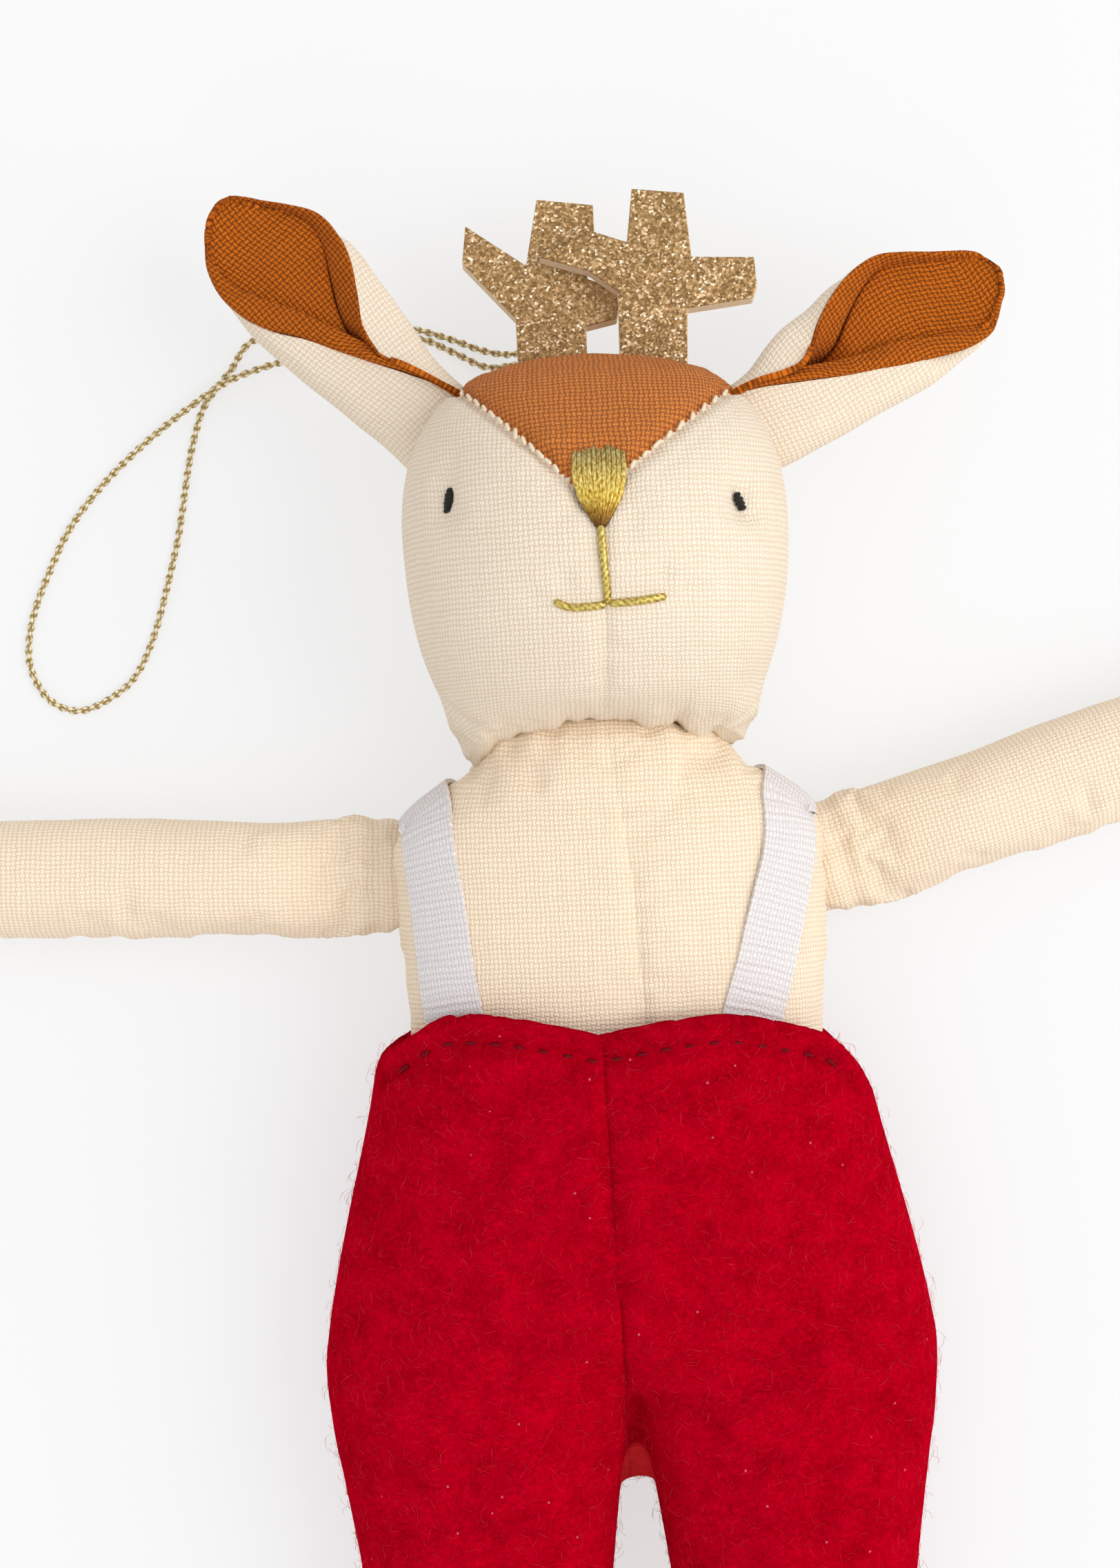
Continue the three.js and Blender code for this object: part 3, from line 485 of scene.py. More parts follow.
def newMaterial(name, roughness, sheen=0.0, metallic=0.0, gloss=0.25, sheenTint="#ffffff"):
    material = bpy.data.materials.new(name)
    material.use_nodes = True
    shader = material.node_tree.nodes["Principled BSDF"]
    for key, value in (("Roughness", roughness), ("Metallic", metallic), ("Specular IOR Level", gloss),
                       ("Sheen Weight", sheen), ("Sheen Tint", linear(sheenTint))):
        shader.inputs[key].default_value = value
    return material, material.node_tree, shader


def joinShader(tree, shader, colour, height, strength, depth):
    # the colour, and a relief that is so many millimetres deep
    bump = addNode(tree, "Bump", {"Height": height, "Strength": strength, "Distance": depth * mm})
    tree.links.new(colour, shader.inputs["Base Color"])
    tree.links.new(bump, shader.inputs["Normal"])


def rampColours(tree, share, stops):
    colour = addNode(tree, "ValToRGB", {"Fac": share})
    elements = colour.node.color_ramp.elements
    while len(elements) < len(stops):
        elements.new(0.5)
    for element, (at, tint) in zip(elements, stops):
        element.position = at
        element.color = linear(tint)
    return colour


def wovenLinen(name, light, dark, acrossPitch, alongPitch, contrast=1.0, relief=1.0, wandering=0.5, gloss=0.25):
    # undyed or dyed linen in plain weave: matt, uneven threads, small holes between them that are darkened as
    # painted shade
    material, tree, shader = newMaterial(name, 0.9, sheen=0.2 * gloss, gloss=gloss)
    uv = addNode(tree, "UVMap", uv_map="cloth")
    wander = addNode(tree, "TexNoise", {"Vector": uv, "Scale": 0.35, "Detail": 2.0}, "Color")
    shift = addNode(tree, "VectorMath", {0: wander, 1: (0.5, 0.5, 0.5)}, operation="SUBTRACT")
    bent = addNode(tree, "VectorMath", {0: shift, 1: (wandering, wandering, 0), 2: uv},
                   operation="MULTIPLY_ADD")
    counted = addNode(tree, "VectorMath", {0: bent, 1: (1 / acrossPitch, 1 / alongPitch, 0)},
                      operation="MULTIPLY")
    waves = []
    for axis in "XY":
        count = addNode(tree, "SeparateXYZ", {0: counted}, axis)
        phase = addNode(tree, "Math", {0: count, 1: math.pi}, operation="MULTIPLY")
        waves.append(addNode(tree, "Math", {0: phase}, operation="SINE"))
    checks = addNode(tree, "Math", {0: waves[0], 1: waves[1]}, operation="MULTIPLY")
    over = addNode(tree, "MapRange", {"Value": checks, "From Min": -0.35, "From Max": 0.35})
    under = addNode(tree, "Math", {0: 1.0, 1: over}, operation="SUBTRACT")
    heights, tones = [], []
    for wave, lift, stretch in ((waves[0], over, (1.0, 0.05, 0)), (waves[1], under, (0.05, 1.0, 0))):
        ridge = addNode(tree, "Math", {0: wave}, operation="ABSOLUTE")
        raised = addNode(tree, "MapRange", {"Value": lift, "To Min": 0.35, "To Max": 1.0})
        heights.append(addNode(tree, "Math", {0: ridge, 1: raised}, operation="MULTIPLY"))
        run = addNode(tree, "VectorMath", {0: counted, 1: stretch}, operation="MULTIPLY")
        tones.append(addNode(tree, "TexNoise", {"Vector": run, "Scale": 1.3, "Detail": 1.0}))
    height = addNode(tree, "Math", {0: heights[0], 1: heights[1]}, operation="MAXIMUM")
    tone = addNode(tree, "Mix", {"Factor": over, "A": tones[1], "B": tones[0]})
    slow = addNode(tree, "TexNoise", {"Vector": uv, "Scale": 0.09, "Detail": 3.0})
    # the low places of the weave are darkened as painted shade in its hollows; the threads' own tones and a slow
    # unevenness darken it too
    mixed = 1.0
    for value, low, high, darkest in ((height, 0.15, 0.85, 1 - 0.55 * contrast),
                                      (tone, 0.25, 0.75, 1 - 0.22 * contrast), (slow, 0.3, 0.7, 0.96)):
        shade = addNode(tree, "MapRange", {"Value": value, "From Min": low, "From Max": high,
                                           "To Min": darkest})
        mixed = addNode(tree, "Math", {0: mixed, 1: shade}, operation="MULTIPLY")
    colour = addNode(tree, "Mix", {"Factor": mixed, "A": linear(dark), "B": linear(light)}, "Result",
                     data_type="RGBA")
    whole = addNode(tree, "Math", {0: tone, 1: 0.35, 2: height}, operation="MULTIPLY_ADD")
    joinShader(tree, shader, colour, whole, 0.6 * relief, 0.25)
    return material


# the box where the felt is painted paler between the legs, as painted light bounced up from the floor
litPatchBox = ((0.5, 4.9), (-76.2, 4.4), (8.0, 6.0))  # centre and half size along x, y and z, mm


def woolFelt(name, light, dark):
    # needled wool felt: dull, mottled, with loose fibres that catch the light at its edges
    material, tree, shader = newMaterial(name, 1.0, sheen=0.25, gloss=0.0, sheenTint="#ff1030")
    place = addNode(tree, "TexCoord", None, "Object")
    cloud = addNode(tree, "TexNoise", {"Vector": place, "Scale": 230.0, "Detail": 5.0, "Roughness": 0.7})
    fibre = addNode(tree, "TexNoise", {"Vector": place, "Scale": 1500.0, "Detail": 3.0, "Roughness": 0.75,
                                       "Distortion": 1.6})
    mixed = addNode(tree, "Math", {0: fibre, 1: cloud}, operation="ADD")
    tone = addNode(tree, "MapRange", {"Value": mixed, "From Min": 0.72, "From Max": 1.28})
    lint = addNode(tree, "TexVoronoi", {"Vector": place, "Scale": 260.0}, feature="F1")
    speck = addNode(tree, "MapRange", {"Value": lint, "From Min": 0.05, "From Max": 0.02, "To Max": 0.55})
    # between the legs the felt is painted paler: painted light bounced up from the floor into the shade there
    placed = addNode(tree, "Mapping", {
        "Vector": place, "Location": [-centre / half for centre, half in litPatchBox],
        "Scale": [1 / (half * mm) for _, half in litPatchBox]})
    apart = addNode(tree, "VectorMath", {0: placed}, "Value", operation="LENGTH")
    paintedLight = addNode(tree, "MapRange", {"Value": apart, "From Min": 1.1, "From Max": 0.9})
    colour = linear(dark)
    for share, tint in ((tone, light), (speck, "#e98a92"), (paintedLight, "#dd3035")):
        colour = addNode(tree, "Mix", {"Factor": share, "A": colour, "B": linear(tint)}, "Result",
                         data_type="RGBA")
    joinShader(tree, shader, colour, mixed, 0.8, 0.5)
    return material


def metallicThread(name, light, dark, twistPitch=1.1, banding=0.3, shadeAndHighlightAlong=None):
    # flat foil wound round a core: bright bands that lean along the thread; their light and dark tones are
    # painted glints and painted shade as well as the twist
    material, tree, shader = newMaterial(name, 0.35, metallic=0.6, gloss=0.5)
    uv = addNode(tree, "UVMap", uv_map="cloth")
    across, along = (addNode(tree, "SeparateXYZ", {0: uv}, axis) for axis in "XY")
    lean = addNode(tree, "Math", {0: across, 1: 0.9, 2: along}, operation="MULTIPLY_ADD")
    turned = addNode(tree, "Math", {0: lean, 1: 2 * math.pi / twistPitch}, operation="MULTIPLY")
    bands = addNode(tree, "Math", {0: turned}, operation="SINE")
    stretch, darkest, lightest = ((1.6, 0.8, 1), 0.38, 0.66) if shadeAndHighlightAlong else ((1, 1, 1), 0.25, 0.8)
    drawn = addNode(tree, "Mapping", {"Vector": uv, "Scale": stretch})
    spots = addNode(tree, "TexNoise", {"Vector": drawn, "Scale": 2.2, "Detail": 2.0})
    mixed = addNode(tree, "Math", {0: bands, 1: banding, 2: spots}, operation="MULTIPLY_ADD")
    tone = addNode(tree, "MapRange", {"Value": mixed, "From Min": darkest, "From Max": lightest})
    colour = addNode(tree, "Mix", {"Factor": tone, "A": linear(dark), "B": linear(light)}, "Result",
                     data_type="RGBA")
    if shadeAndHighlightAlong:
        # painted shade over the top of the nose, a painted highlight in the middle, and darker at its foot where
        # the threads crowd together
        up = addNode(tree, "SeparateXYZ", {0: addNode(tree, "TexCoord", None, "Object")}, "Y")
        low, high = shadeAndHighlightAlong[0][0], shadeAndHighlightAlong[-1][0]
        share = addNode(tree, "MapRange", {"Value": up, "From Min": low * mm, "From Max": high * mm})
        tones = rampColours(tree, share, [((at - low) / (high - low), tint) for at, tint in shadeAndHighlightAlong])
        colour = addNode(tree, "Mix", {"Factor": 1.0, "A": colour, "B": tones}, "Result", data_type="RGBA",
                         blend_type="MULTIPLY")
    joinShader(tree, shader, colour, mixed, 0.7, 0.12)
    return material


def glitterSheet(name):
    # coarse glitter in clear binder: each flake faces its own way, so some flash and some stay dark, and each
    # flake also gets a painted tone from painted shade to a near-white painted sparkle
    material, tree, shader = newMaterial(name, 0.4, metallic=0.45, gloss=0.5)
    place = addNode(tree, "TexCoord", None, "Object")
    flake = addNode(tree, "TexVoronoi", {"Vector": place, "Scale": 1 / (0.26 * mm)}, "Color", feature="F1")
    # painted flash and painted shade: each flake's colour is picked at random from dark to near white
    tones = rampColours(tree, addNode(tree, "SeparateXYZ", {0: flake}, "X"), [
        (0.0, "#7d5d32"), (0.4, "#a27b49"), (0.75, "#bb9563"), (0.93, "#d6b68a"), (1.0, "#fbf0d8")])
    grain = addNode(tree, "TexNoise", {"Vector": place, "Scale": 420.0, "Detail": 2.0})
    shaded = addNode(tree, "MapRange", {"Value": grain, "From Min": 0.35, "From Max": 0.65, "To Min": 0.7})
    colour = addNode(tree, "Mix", {"Factor": shaded, "A": linear("#7a5a28"), "B": tones}, "Result",
                     data_type="RGBA")
    tilt = addNode(tree, "VectorMath", {0: flake, 1: (0.5, 0.5, 0.5)}, operation="SUBTRACT")
    facing = addNode(tree, "NewGeometry", None, "Normal")
    leaning = addNode(tree, "VectorMath", {0: tilt, 1: (0.4, 0.4, 0.4), 2: facing}, operation="MULTIPLY_ADD")
    straightened = addNode(tree, "VectorMath", {0: leaning}, operation="NORMALIZE")
    tree.links.new(colour, shader.inputs["Base Color"])
    tree.links.new(straightened, shader.inputs["Normal"])
    return material


def grainy(name, light, dark, roughness, sheen, grain, strength, depth, onCloth=False):
    # one fine noise, over the object or over the cloth's flat measures, gives both the tones and the relief
    material, tree, shader = newMaterial(name, roughness, sheen=sheen)
    place = addNode(tree, "UVMap", uv_map="cloth") if onCloth else addNode(tree, "TexCoord", None, "Object")
    fine = addNode(tree, "TexNoise", {"Vector": place, **grain})
    colour = addNode(tree, "Mix", {"Factor": fine, "A": linear(dark), "B": linear(light)}, "Result",
                     data_type="RGBA")
    joinShader(tree, shader, colour, fine, strength, depth)
    return material


def spunThread(name, light, dark, roughness=0.75, sheen=0.1):
    # dull, with a fine lean from its twist
    return grainy(name, light, dark, roughness, sheen, {"Scale": 3.5, "Detail": 3.0}, 0.7, 0.15, onCloth=True)


creamLinen = wovenLinen("CreamLinen", "#f9e8ce", "#cca984", 0.56, 0.62, contrast=0.85)
paleLinen = wovenLinen("PaleLinen", "#f2e4cf", "#caae8c", 0.58, 0.66, contrast=0.9)
rustLinen = wovenLinen("RustLinen", "#d26d1a", "#4b2008", 0.62, 0.66, contrast=1.5, relief=1.5, gloss=0.08)
# a paler copy of the rust linen for the gusset: painted light and a painted sheen of its fuzz, where it faces up
# to the light
litGussetLinen = wovenLinen("LitGussetLinen", "#dc8540", "#7a3a10", 0.62, 0.66, contrast=1.4, relief=1.5,
                         wandering=0.7, gloss=0.15)
crimsonFelt = woolFelt("CrimsonFelt", "#c80020", "#92000f")
goldThread = metallicThread("GoldThread", "#f6e07c", "#7d5f1c", twistPitch=0.8, banding=0.1)
# the satin's tones along the nose: painted shade at the top and a painted highlight in the middle
goldSatin = metallicThread("GoldSatin", "#fffad2", "#b8943c", twistPitch=1.6, banding=0.02, shadeAndHighlightAlong=[
    (41.6, "#5c3a10"), (43.4, "#a8842c"), (45.2, "#f6e486"), (47.6, "#fff6b8"), (49.2, "#dcd3a8"),
    (51.2, "#b8ae90")])
paleGoldThread = metallicThread("PaleGoldThread", "#f3e6c2", "#a3884f")
blackThread = spunThread("BlackThread", "#2c2622", "#100c0a")
crimsonThread = spunThread("CrimsonThread", "#86001a", "#52000c", roughness=1.0, sheen=0)
# the loose fibres are painted lighter than the felt: painted light caught in the thin strands
litWoolFibre = spunThread("LitWoolFibre", "#f03044", "#c00e24", roughness=1.0, sheen=0)
creamThread = spunThread("CreamThread", "#f6ead2", "#d9c39c")
goldGlitter = glitterSheet("GoldGlitter")
# the pale cut edge of the sheet, and its bare back
beigeCard = grainy("BeigeCard", "#e7d8be", "#cbb48f", 0.9, 0, {"Scale": 1800.0, "Detail": 3.0}, 0.5, 0.2)
whiteTape = wovenLinen("WhiteTape", "#e9e3e0", "#aca2a2", 0.48, 0.82, contrast=0.75, relief=0.9)
# crimped polyester fill: white, soft, with thin shadows between its tufts
polyesterFill = grainy("PolyesterFill", "#fbfaf7", "#d9d6cf", 0.95, 0.4,
                       {"Scale": 300.0, "Detail": 6.0, "Distortion": 2.0}, 0.9, 0.8)


def finishPiece(piece, material, body=None, nodes=()):
    piece.data.materials.clear()
    piece.data.materials.append(material)
    if body:
        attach(piece, body)
    if nodes:
        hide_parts(*nodes)


# Camera: straight above the doll, turned a little, at the photograph's height
cameraSetup = {"height": 420.0, "middle": (-5.75, 12.0), "turn": -2.67, "focal": 4640.0, "longSide": 2274.0}
bpy.ops.object.camera_add(location=(cameraSetup["middle"][0] * mm, cameraSetup["middle"][1] * mm,
                                    cameraSetup["height"] * mm),
                          rotation=(0, 0, math.radians(cameraSetup["turn"])))
camera = bpy.context.object
camera.data.sensor_width = 36
camera.data.lens = 36 * cameraSetup["focal"] / cameraSetup["longSide"]
camera.data.clip_start = 0.01
camera.data.clip_end = 20
bpy.context.scene.camera = camera
print("camera placed")


# Hanging cord: two foil plies twisted round each other, laid along the chosen points
hangingCord = {
    "diameter": 1.0,
    "twistPitch": 3.1,
    "route": [
        (-3, 62, 12.6), (-3, 65.2, 12.4), (-4.2, 67.6, 9.2), (-6.6, 68.4, 4.4), (-9.8, 68.4, 1.4),
        (-13.2, 69.2, 0.55), (-17.4, 70.9, 0.55), (-23, 72.6, 0.55), (-32.9, 73.8, 0.55), (-42.8, 72.1, 0.55),
        (-46.4, 68.1, 0.55), (-49.9, 63.8, 0.55), (-51.4, 59.9, 0.55), (-52.5, 55.6, 0.55), (-53.7, 49.2, 0.55),
        (-54.8, 44.4, 0.55), (-57.8, 34.4, 0.55), (-60.6, 28.8, 0.55), (-64, 26, 0.55), (-68.1, 24.5, 0.55),
        (-71.7, 25.8, 0.55), (-73.9, 29, 0.55), (-74.5, 32.7, 0.55), (-73.5, 37.7, 0.55), (-70.9, 43.7, 0.55),
        (-68.1, 48.8, 0.55), (-63.4, 54.3, 0.7), (-57, 59.8, 1.2), (-49.6, 64.9, 1.75), (-45.4, 67.1, 1.75),
        (-39.1, 69, 1.1), (-30.3, 70.8, 0.6), (-22, 71.2, 0.55), (-17.4, 69.3, 0.55), (-13, 67, 0.9),
        (-9.4, 66.8, 2.6), (-6.4, 66.7, 6.8), (-4.6, 65.2, 11.4), (-4.3, 63.8, 12.6), (-4.2, 62, 12.6),
    ],
}


def makeCord(settings):
    line = smoothLine(settings["route"], 900)
    walked = np.concatenate([[0], np.cumsum(np.linalg.norm(np.diff(line, axis=0), axis=1))])
    sides, ups = lineFrames(line)
    plies = []
    radius = settings["diameter"] / 4
    for k in range(2):
        turn = 2 * math.pi * walked / settings["twistPitch"] + math.pi * k
        strand = line + radius * 1.02 * (np.cos(turn)[:, None] * sides + np.sin(turn)[:, None] * ups)
        strand[:, 2] = np.maximum(strand[:, 2], radius * 0.98)
        plies.append(wrapTube(f"ply{k}", strand, sides, ups, np.full(len(strand), radius * 0.98), 8))
    cord = joinAll(plies, "hanging_cord_twist")
    finishPiece(cord, paleGoldThread, "body", ["hanging_cord"])


makeCord(hangingCord)


# Head: two cream side panels that meet below the nose, and a rust gusset over the crown and down the nape
head = {
    "start": 16.5,
    "length": 48.5,
    "halfWidth": 23.2,
    "depth": 48.3,
    "squareness": 2.3,
    "rows": [(-0.012, 0.6, 0.2, 0.4), (0, 0.69, 0.155, 0.48), (0.02, 0.72, 0.14, 0.575),
             (0.05, 0.76, 0.115, 0.665), (0.113, 0.835, 0.077, 0.776), (0.237, 0.93, 0.031, 0.907),
             (0.361, 0.98, 0.002, 0.975), (0.485, 1, 0, 1), (0.608, 1, 0.002, 0.985),
             (0.732, 0.955, 0.058, 0.934), (0.835, 0.856, 0.124, 0.857), (0.907, 0.72, 0.199, 0.772),
             (0.948, 0.586, 0.263, 0.698), (0.979, 0.412, 0.335, 0.615), (1, 0.13, 0.4, 0.52)],
    "gussetTip": (-0.6, 44.9),
    "gussetLeft": (-16.24, 60.9),
    "gussetRight": (17.6, 59.4),
    "seamTop": (0.9, 45.2),
    "chinSeam": (0.1, 18.4),
    "seamEnd": (0.1, 16.6),
    "neckHeight": 17.0,
    "neckHalfWidth": 7.5,
    "napeHalfWidth": 9.0,
    "nape": 51.4,
    "panelSplit": 23.65,
    "raisedTo": 24.0,
    "cloth": 0.6,
    # lines under the mouth, the eyes and the nose, where the stuffing doesn't lift the cloth
    "embroidered": [((-5.5, 33.2), (7.8, 33.2)), ((-17.9, 45), (-17.7, 48)), ((17.4, 43.6), (17.8, 46)),
                    ((-2, 45), (-2, 50)), ((3, 45), (3, 50))],
    # dents under the eyes and above the nose: x, y, depth, size
    "dents": [(-17.9, 46.4, 0.9, 2.6), (17.6, 44.6, 1.3, 3.0), (0.6, 46.0, 0.5, 4.0)],
    # where the chin hangs over the neck seam: x, distance
    "chinEdge": [(-19, -1.2), (-17, -1.9), (-15.6, -1.9), (-13.8, -0.9), (-12.5, -0.2), (-10.2, -0.6),
                 (-6.8, -0.75), (-4.7, 0.3), (-2.4, 0.6), (-1.2, 0.1), (2.8, 0.2), (5.8, -1.2), (8.7, 0.1),
                 (9.6, -0.3), (11.6, -1.4), (13.2, -0.4), (15, 0.2), (19, 0)],
    # the folds that the gathered thread draws up: x, depth, length
    "gathers": [(-12.8, 0.3, 4.5), (-9.9, 0.3, 3.5), (-4.4, 0.55, 5.5), (-1.5, 0.5, 4.5), (1.3, 0.45, 5.5),
                (3.4, 0.4, 4.0), (8.9, 0.8, 7.0), (13.3, 0.75, 5.5)],
}
headForm = shareForm(head)


def straight(start, end, count):
    return [np.linspace(start[k], end[k], count) for k in range(2)]


def headFront(start, end, count=60):
    return onFront(headForm, *straight(start, end, count))


def headBack(start, end, count=60):
    x, y = straight(start, end, count)
    return formPoints(headForm, -frontAngle(headForm, x, y), y)


def insideGusset(points, settings):
    tip, left, right = settings["gussetTip"], settings["gussetLeft"], settings["gussetRight"]
    x, y, z = points.T
    corner = np.where(x < tip[0], left[0], right[0])
    cornerY = np.where(x < tip[0], left[1], right[1])
    front = y > tip[1] + (cornerY - tip[1]) * (x - tip[0]) / (corner - tip[0])
    nape, napeWidth, neckWidth = settings["nape"], settings["napeHalfWidth"], settings["neckHalfWidth"]
    lower = neckWidth + (napeWidth - neckWidth) * (y - settings["start"]) / (nape - settings["start"])
    upper = napeWidth + (np.abs(corner) - napeWidth) * (y - nape) / (cornerY - nape)
    back = np.where(y < nape, np.abs(x) < lower, (np.abs(x) < upper) | (y > cornerY))
    return np.where(z > settings["panelSplit"], front, back)


def neckLine(x):
    # where the chin is sewn to the torso, seen from the front
    return 10.4 + 8.5 * np.sqrt(1 - np.minimum(np.abs(x) / 19.2, 1) ** 2.6)


def raiseNeck(piece):
    # the front of the chin follows the domed top of the torso, and hangs over its seam in small lobes
    points = pointsOf(piece)
    near = np.clip((head["raisedTo"] - points[:, 1]) / (head["raisedTo"] - head["start"]), 0, 1)
    front = np.clip((points[:, 2] - 8) / 10, 0, 1)
    ease = (near * near * (3 - 2 * near)) * (front * front * (3 - 2 * front))
    lobes = np.interp(points[:, 0], *np.array(head["chinEdge"]).T)
    points[:, 1] += ease * (neckLine(points[:, 0]) + lobes * near ** 2 - head["start"])
    placePoints(piece, points)


def foldIn(piece, line, depth, width):
    # one fold of gathered cloth: deepest where the line starts, with a soft roll on each side
    distance, place = nearLine(pointsOf(piece), line, width * 5)
    fade = np.clip(1 - place / np.sum(np.linalg.norm(np.diff(line, axis=0), axis=1)), 0, 1) ** 1.3
    ratio = np.minimum(distance / width, 20)
    pushOut(piece, -depth * fade * (np.exp(-ratio ** 2) - 0.45 * np.exp(-(ratio - 1.7) ** 2)), lowest=0)


def makeHead(settings):
    shell = wrapForm("head_side_right_linen", headForm, 260, 170)
    lumps(shell, 0.35, 15, 3)
    tip, top, chin = settings["gussetTip"], settings["seamTop"], settings["chinSeam"]
    corners = (settings["gussetLeft"], settings["gussetRight"])
    lines = [(tip, corner) for corner in corners] + [(top, chin)] + settings["embroidered"]
    neckRing = formPoints(headForm, np.linspace(0, 2 * math.pi, 90), np.full(90, settings["neckHeight"]))
    stuffTight(shell, headForm, 90, 62, [headFront(*line) for line in lines] + [neckRing], 1.2, 0.02, 0.4)
    split = settings["panelSplit"]
    cutAlong(shell, (0, 0, split), (0, 0, 1))
    for corner in corners:
        side = math.copysign(1, corner[0])
        low = (side * settings["neckHalfWidth"], settings["start"])
        middle = (side * settings["napeHalfWidth"], settings["nape"])
        for start, end, front in ((tip, corner, 1), (low, middle, -1), (middle, corner, -1)):
            cutAlong(shell, (*start, 0), (end[1] - start[1], start[0] - end[0], 0),
                     lambda c: front * (c[:, 2] - split) > 0)
        sewSeam(shell, headFront(tip, corner), 0.75, 0.9, pucker=0.3, pitch=2.2, reach=2.5, seed=4 + side)
        sewSeam(shell, np.vstack([headBack(low, middle), headBack(middle, corner)]), 0.75, 0.9, pucker=0.3,
                pitch=2.5, reach=2.5, seed=7 + side)
    cutAlong(shell, (*top, 0), (top[1] - chin[1], chin[0] - top[0], 0))
    seamX = top[0] + (chin[0] - top[0]) * (top[1] - faceCentres(shell)[:, 1]) / (top[1] - chin[1])
    crown = insideGusset(faceCentres(shell), settings)
    toLeft = faceCentres(shell)[:, 0] < seamX
    sewSeam(shell, headFront(top, settings["seamEnd"]), 0.22, 0.45, pucker=0.2, pitch=2.4, reach=2.2, seed=11)
    chinLine = formPoints(headForm, np.linspace(0.02, math.pi - 0.02, 90), np.full(90, settings["neckHeight"]))
    sewSeam(shell, chinLine, 0.0, 1.0, pucker=0.5, pitch=2.3, reach=3.6, seed=13)
    for x, depth, length in settings["gathers"]:
        foldIn(shell, headFront((x, 16.2), (x * 1.18, 16.5 + length), 30), depth, 0.65)
    raiseNeck(shell)
    for x, y, depth, size in settings["dents"]:
        dimple(shell, onFront(headForm, x, y), depth, size)
    gusset = splitOff(shell, "gusset_linen", crown)
    leftSide = splitOff(shell, "head_side_left_linen", toLeft[~crown])
    for piece, material, slot, node in ((leftSide, paleLinen, "cream_linen", "head_side_left"),
                                        (shell, paleLinen, "cream_linen", "head_side_right"),
                                        (gusset, litGussetLinen, "rust_linen", "crown_gusset")):
        thicken(piece, settings["cloth"])
        finishPiece(piece, material, "body", [node])
    fill = makeFill("head_fill", headForm, 1.1, "head_stuffing", 90, 60)
    raiseNeck(fill)
    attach(fill, "body")


def makeFill(name, shape, depth, node, across, along, lengths=(0, 1)):
    # the stuffing, pushed into a closed lumpy shape by its cover
    start, end = shape["y"][0], shape["y"][-1]
    start, end = start + (end - start) * lengths[0], start + (end - start) * lengths[1]

    def surface(u, v):
        y = start + depth + (end - start - 2 * depth) * roundedRun(v)
        return liftedPoints(shape, np.radians(-90 + 360 * u), y, -depth)

    fill = wrapGrid(name, across, along, surface)
    closeTube(fill)
    pushOut(fill, -(0.5 + 0.5 * rowNoise(pointsOf(fill), 4, 5)), lowest=0.4)
    fill.data.shade_smooth()
    finishPiece(fill, polyesterFill, None, [node])
    return fill


makeHead(head)
print("head made")


# Whip stitches of frayed cream linen across the two front edges of the gusset
def makeWhip(settings):
    stitches = []
    for corner, count, first in ((settings["left"], 13, 0.22), (settings["right"], 9, 0.24)):
        tip = head["gussetTip"]
        for k in range(count):
            share = first + (settings["end"] - first) * (k + 0.5) / count
            x, y = tip[0] + (corner[0] - tip[0]) * share, tip[1] + (corner[1] - tip[1]) * share
            side = math.copysign(1, corner[0])
            lean = side * (settings["lean"] + 0.5 * noise.noise(Vector((k * 2.3, side, 4))))
            reach = settings["length"] / 2 * (0.85 + 0.8 * noise.noise(Vector((k * 1.7, side, 0))))
            start = onFront(headForm, x - lean - side * reach * 0.3, y - reach, 0.02)
            middle = onFront(headForm, x, y, settings["lift"])
            end = onFront(headForm, x + lean + side * reach * 0.3, y + reach, -0.15)
            stitches.append(thread(f"nick{side}{k}", [start, middle, end], settings["diameter"], around=6))
    whip = joinAll(stitches, "gusset_whip_stitches")
    finishPiece(whip, creamThread, "body")


gussetWhip = {"left": head["gussetLeft"], "right": head["gussetRight"], "end": 0.98, "length": 1.3, "lean": 0.1,
              "lift": 0.05, "diameter": 0.5}
makeWhip(gussetWhip)


# Face: gold satin stitches for the nose, a gold line below it and a gold bar for the mouth
nose = {"middle": 0.55, "top": 51.2, "bottom": 41.6, "threads": 11, "diameter": 0.66, "lift": 0.5,
        "widths": [(0, 2.8), (0.25, 2.9), (0.42, 2.75), (0.6, 2.3), (0.8, 1.35), (0.92, 0.7), (1, 0.25)]}


def shiftPattern(piece, by):
    # each thread starts its own stretch of the foil's pattern
    layer = piece.data.uv_layers["cloth"]
    layer.data.foreach_set("uv", (readAll(layer.data, "uv", 2) + by).ravel())
    return piece


def makeNose(settings):
    threads = []
    stops, widths = np.array(settings["widths"]).T
    for k in range(settings["threads"]):
        side = 2 * k / (settings["threads"] - 1) - 1
        top = settings["top"] - 0.6 * abs(side) ** 3 + 0.35 * noise.noise(Vector((k * 2.3, 1.5, 0)))
        places = []
        for t in np.linspace(0, 1, 9):
            x = settings["middle"] - 0.15 * t + side * np.interp(t, stops, widths)
            y = top + (settings["bottom"] - top) * t
            rise = settings["lift"] * (1 - 0.3 * side * side) * math.sin(math.pi * (0.06 + 0.88 * t)) ** 0.5
            places.append(onFront(headForm, x, y, rise - 0.1))
        satin = thread(f"satin{k}", places, settings["diameter"], around=12, density=5)
        threads.append(shiftPattern(satin, 5.7 * k))
    piece = joinAll(threads, "nose_threads")
    finishPiece(piece, goldSatin, "body", ["nose_embroidery"])


makeNose(nose)


def longStitch(name, places):
    # one stitch along the places, which dips into the cloth at both ends
    line = smoothLine([(x, y, 0) for x, y in places], 60)
    points = []
    for t in np.linspace(0, 1, 7):
        x, y, _ = line[round(t * 59)]
        points.append(onFront(headForm, x, y, 0.35 * math.sin(math.pi * t) ** 0.6 - 0.1))
    return thread(name, points, 0.95, around=10)


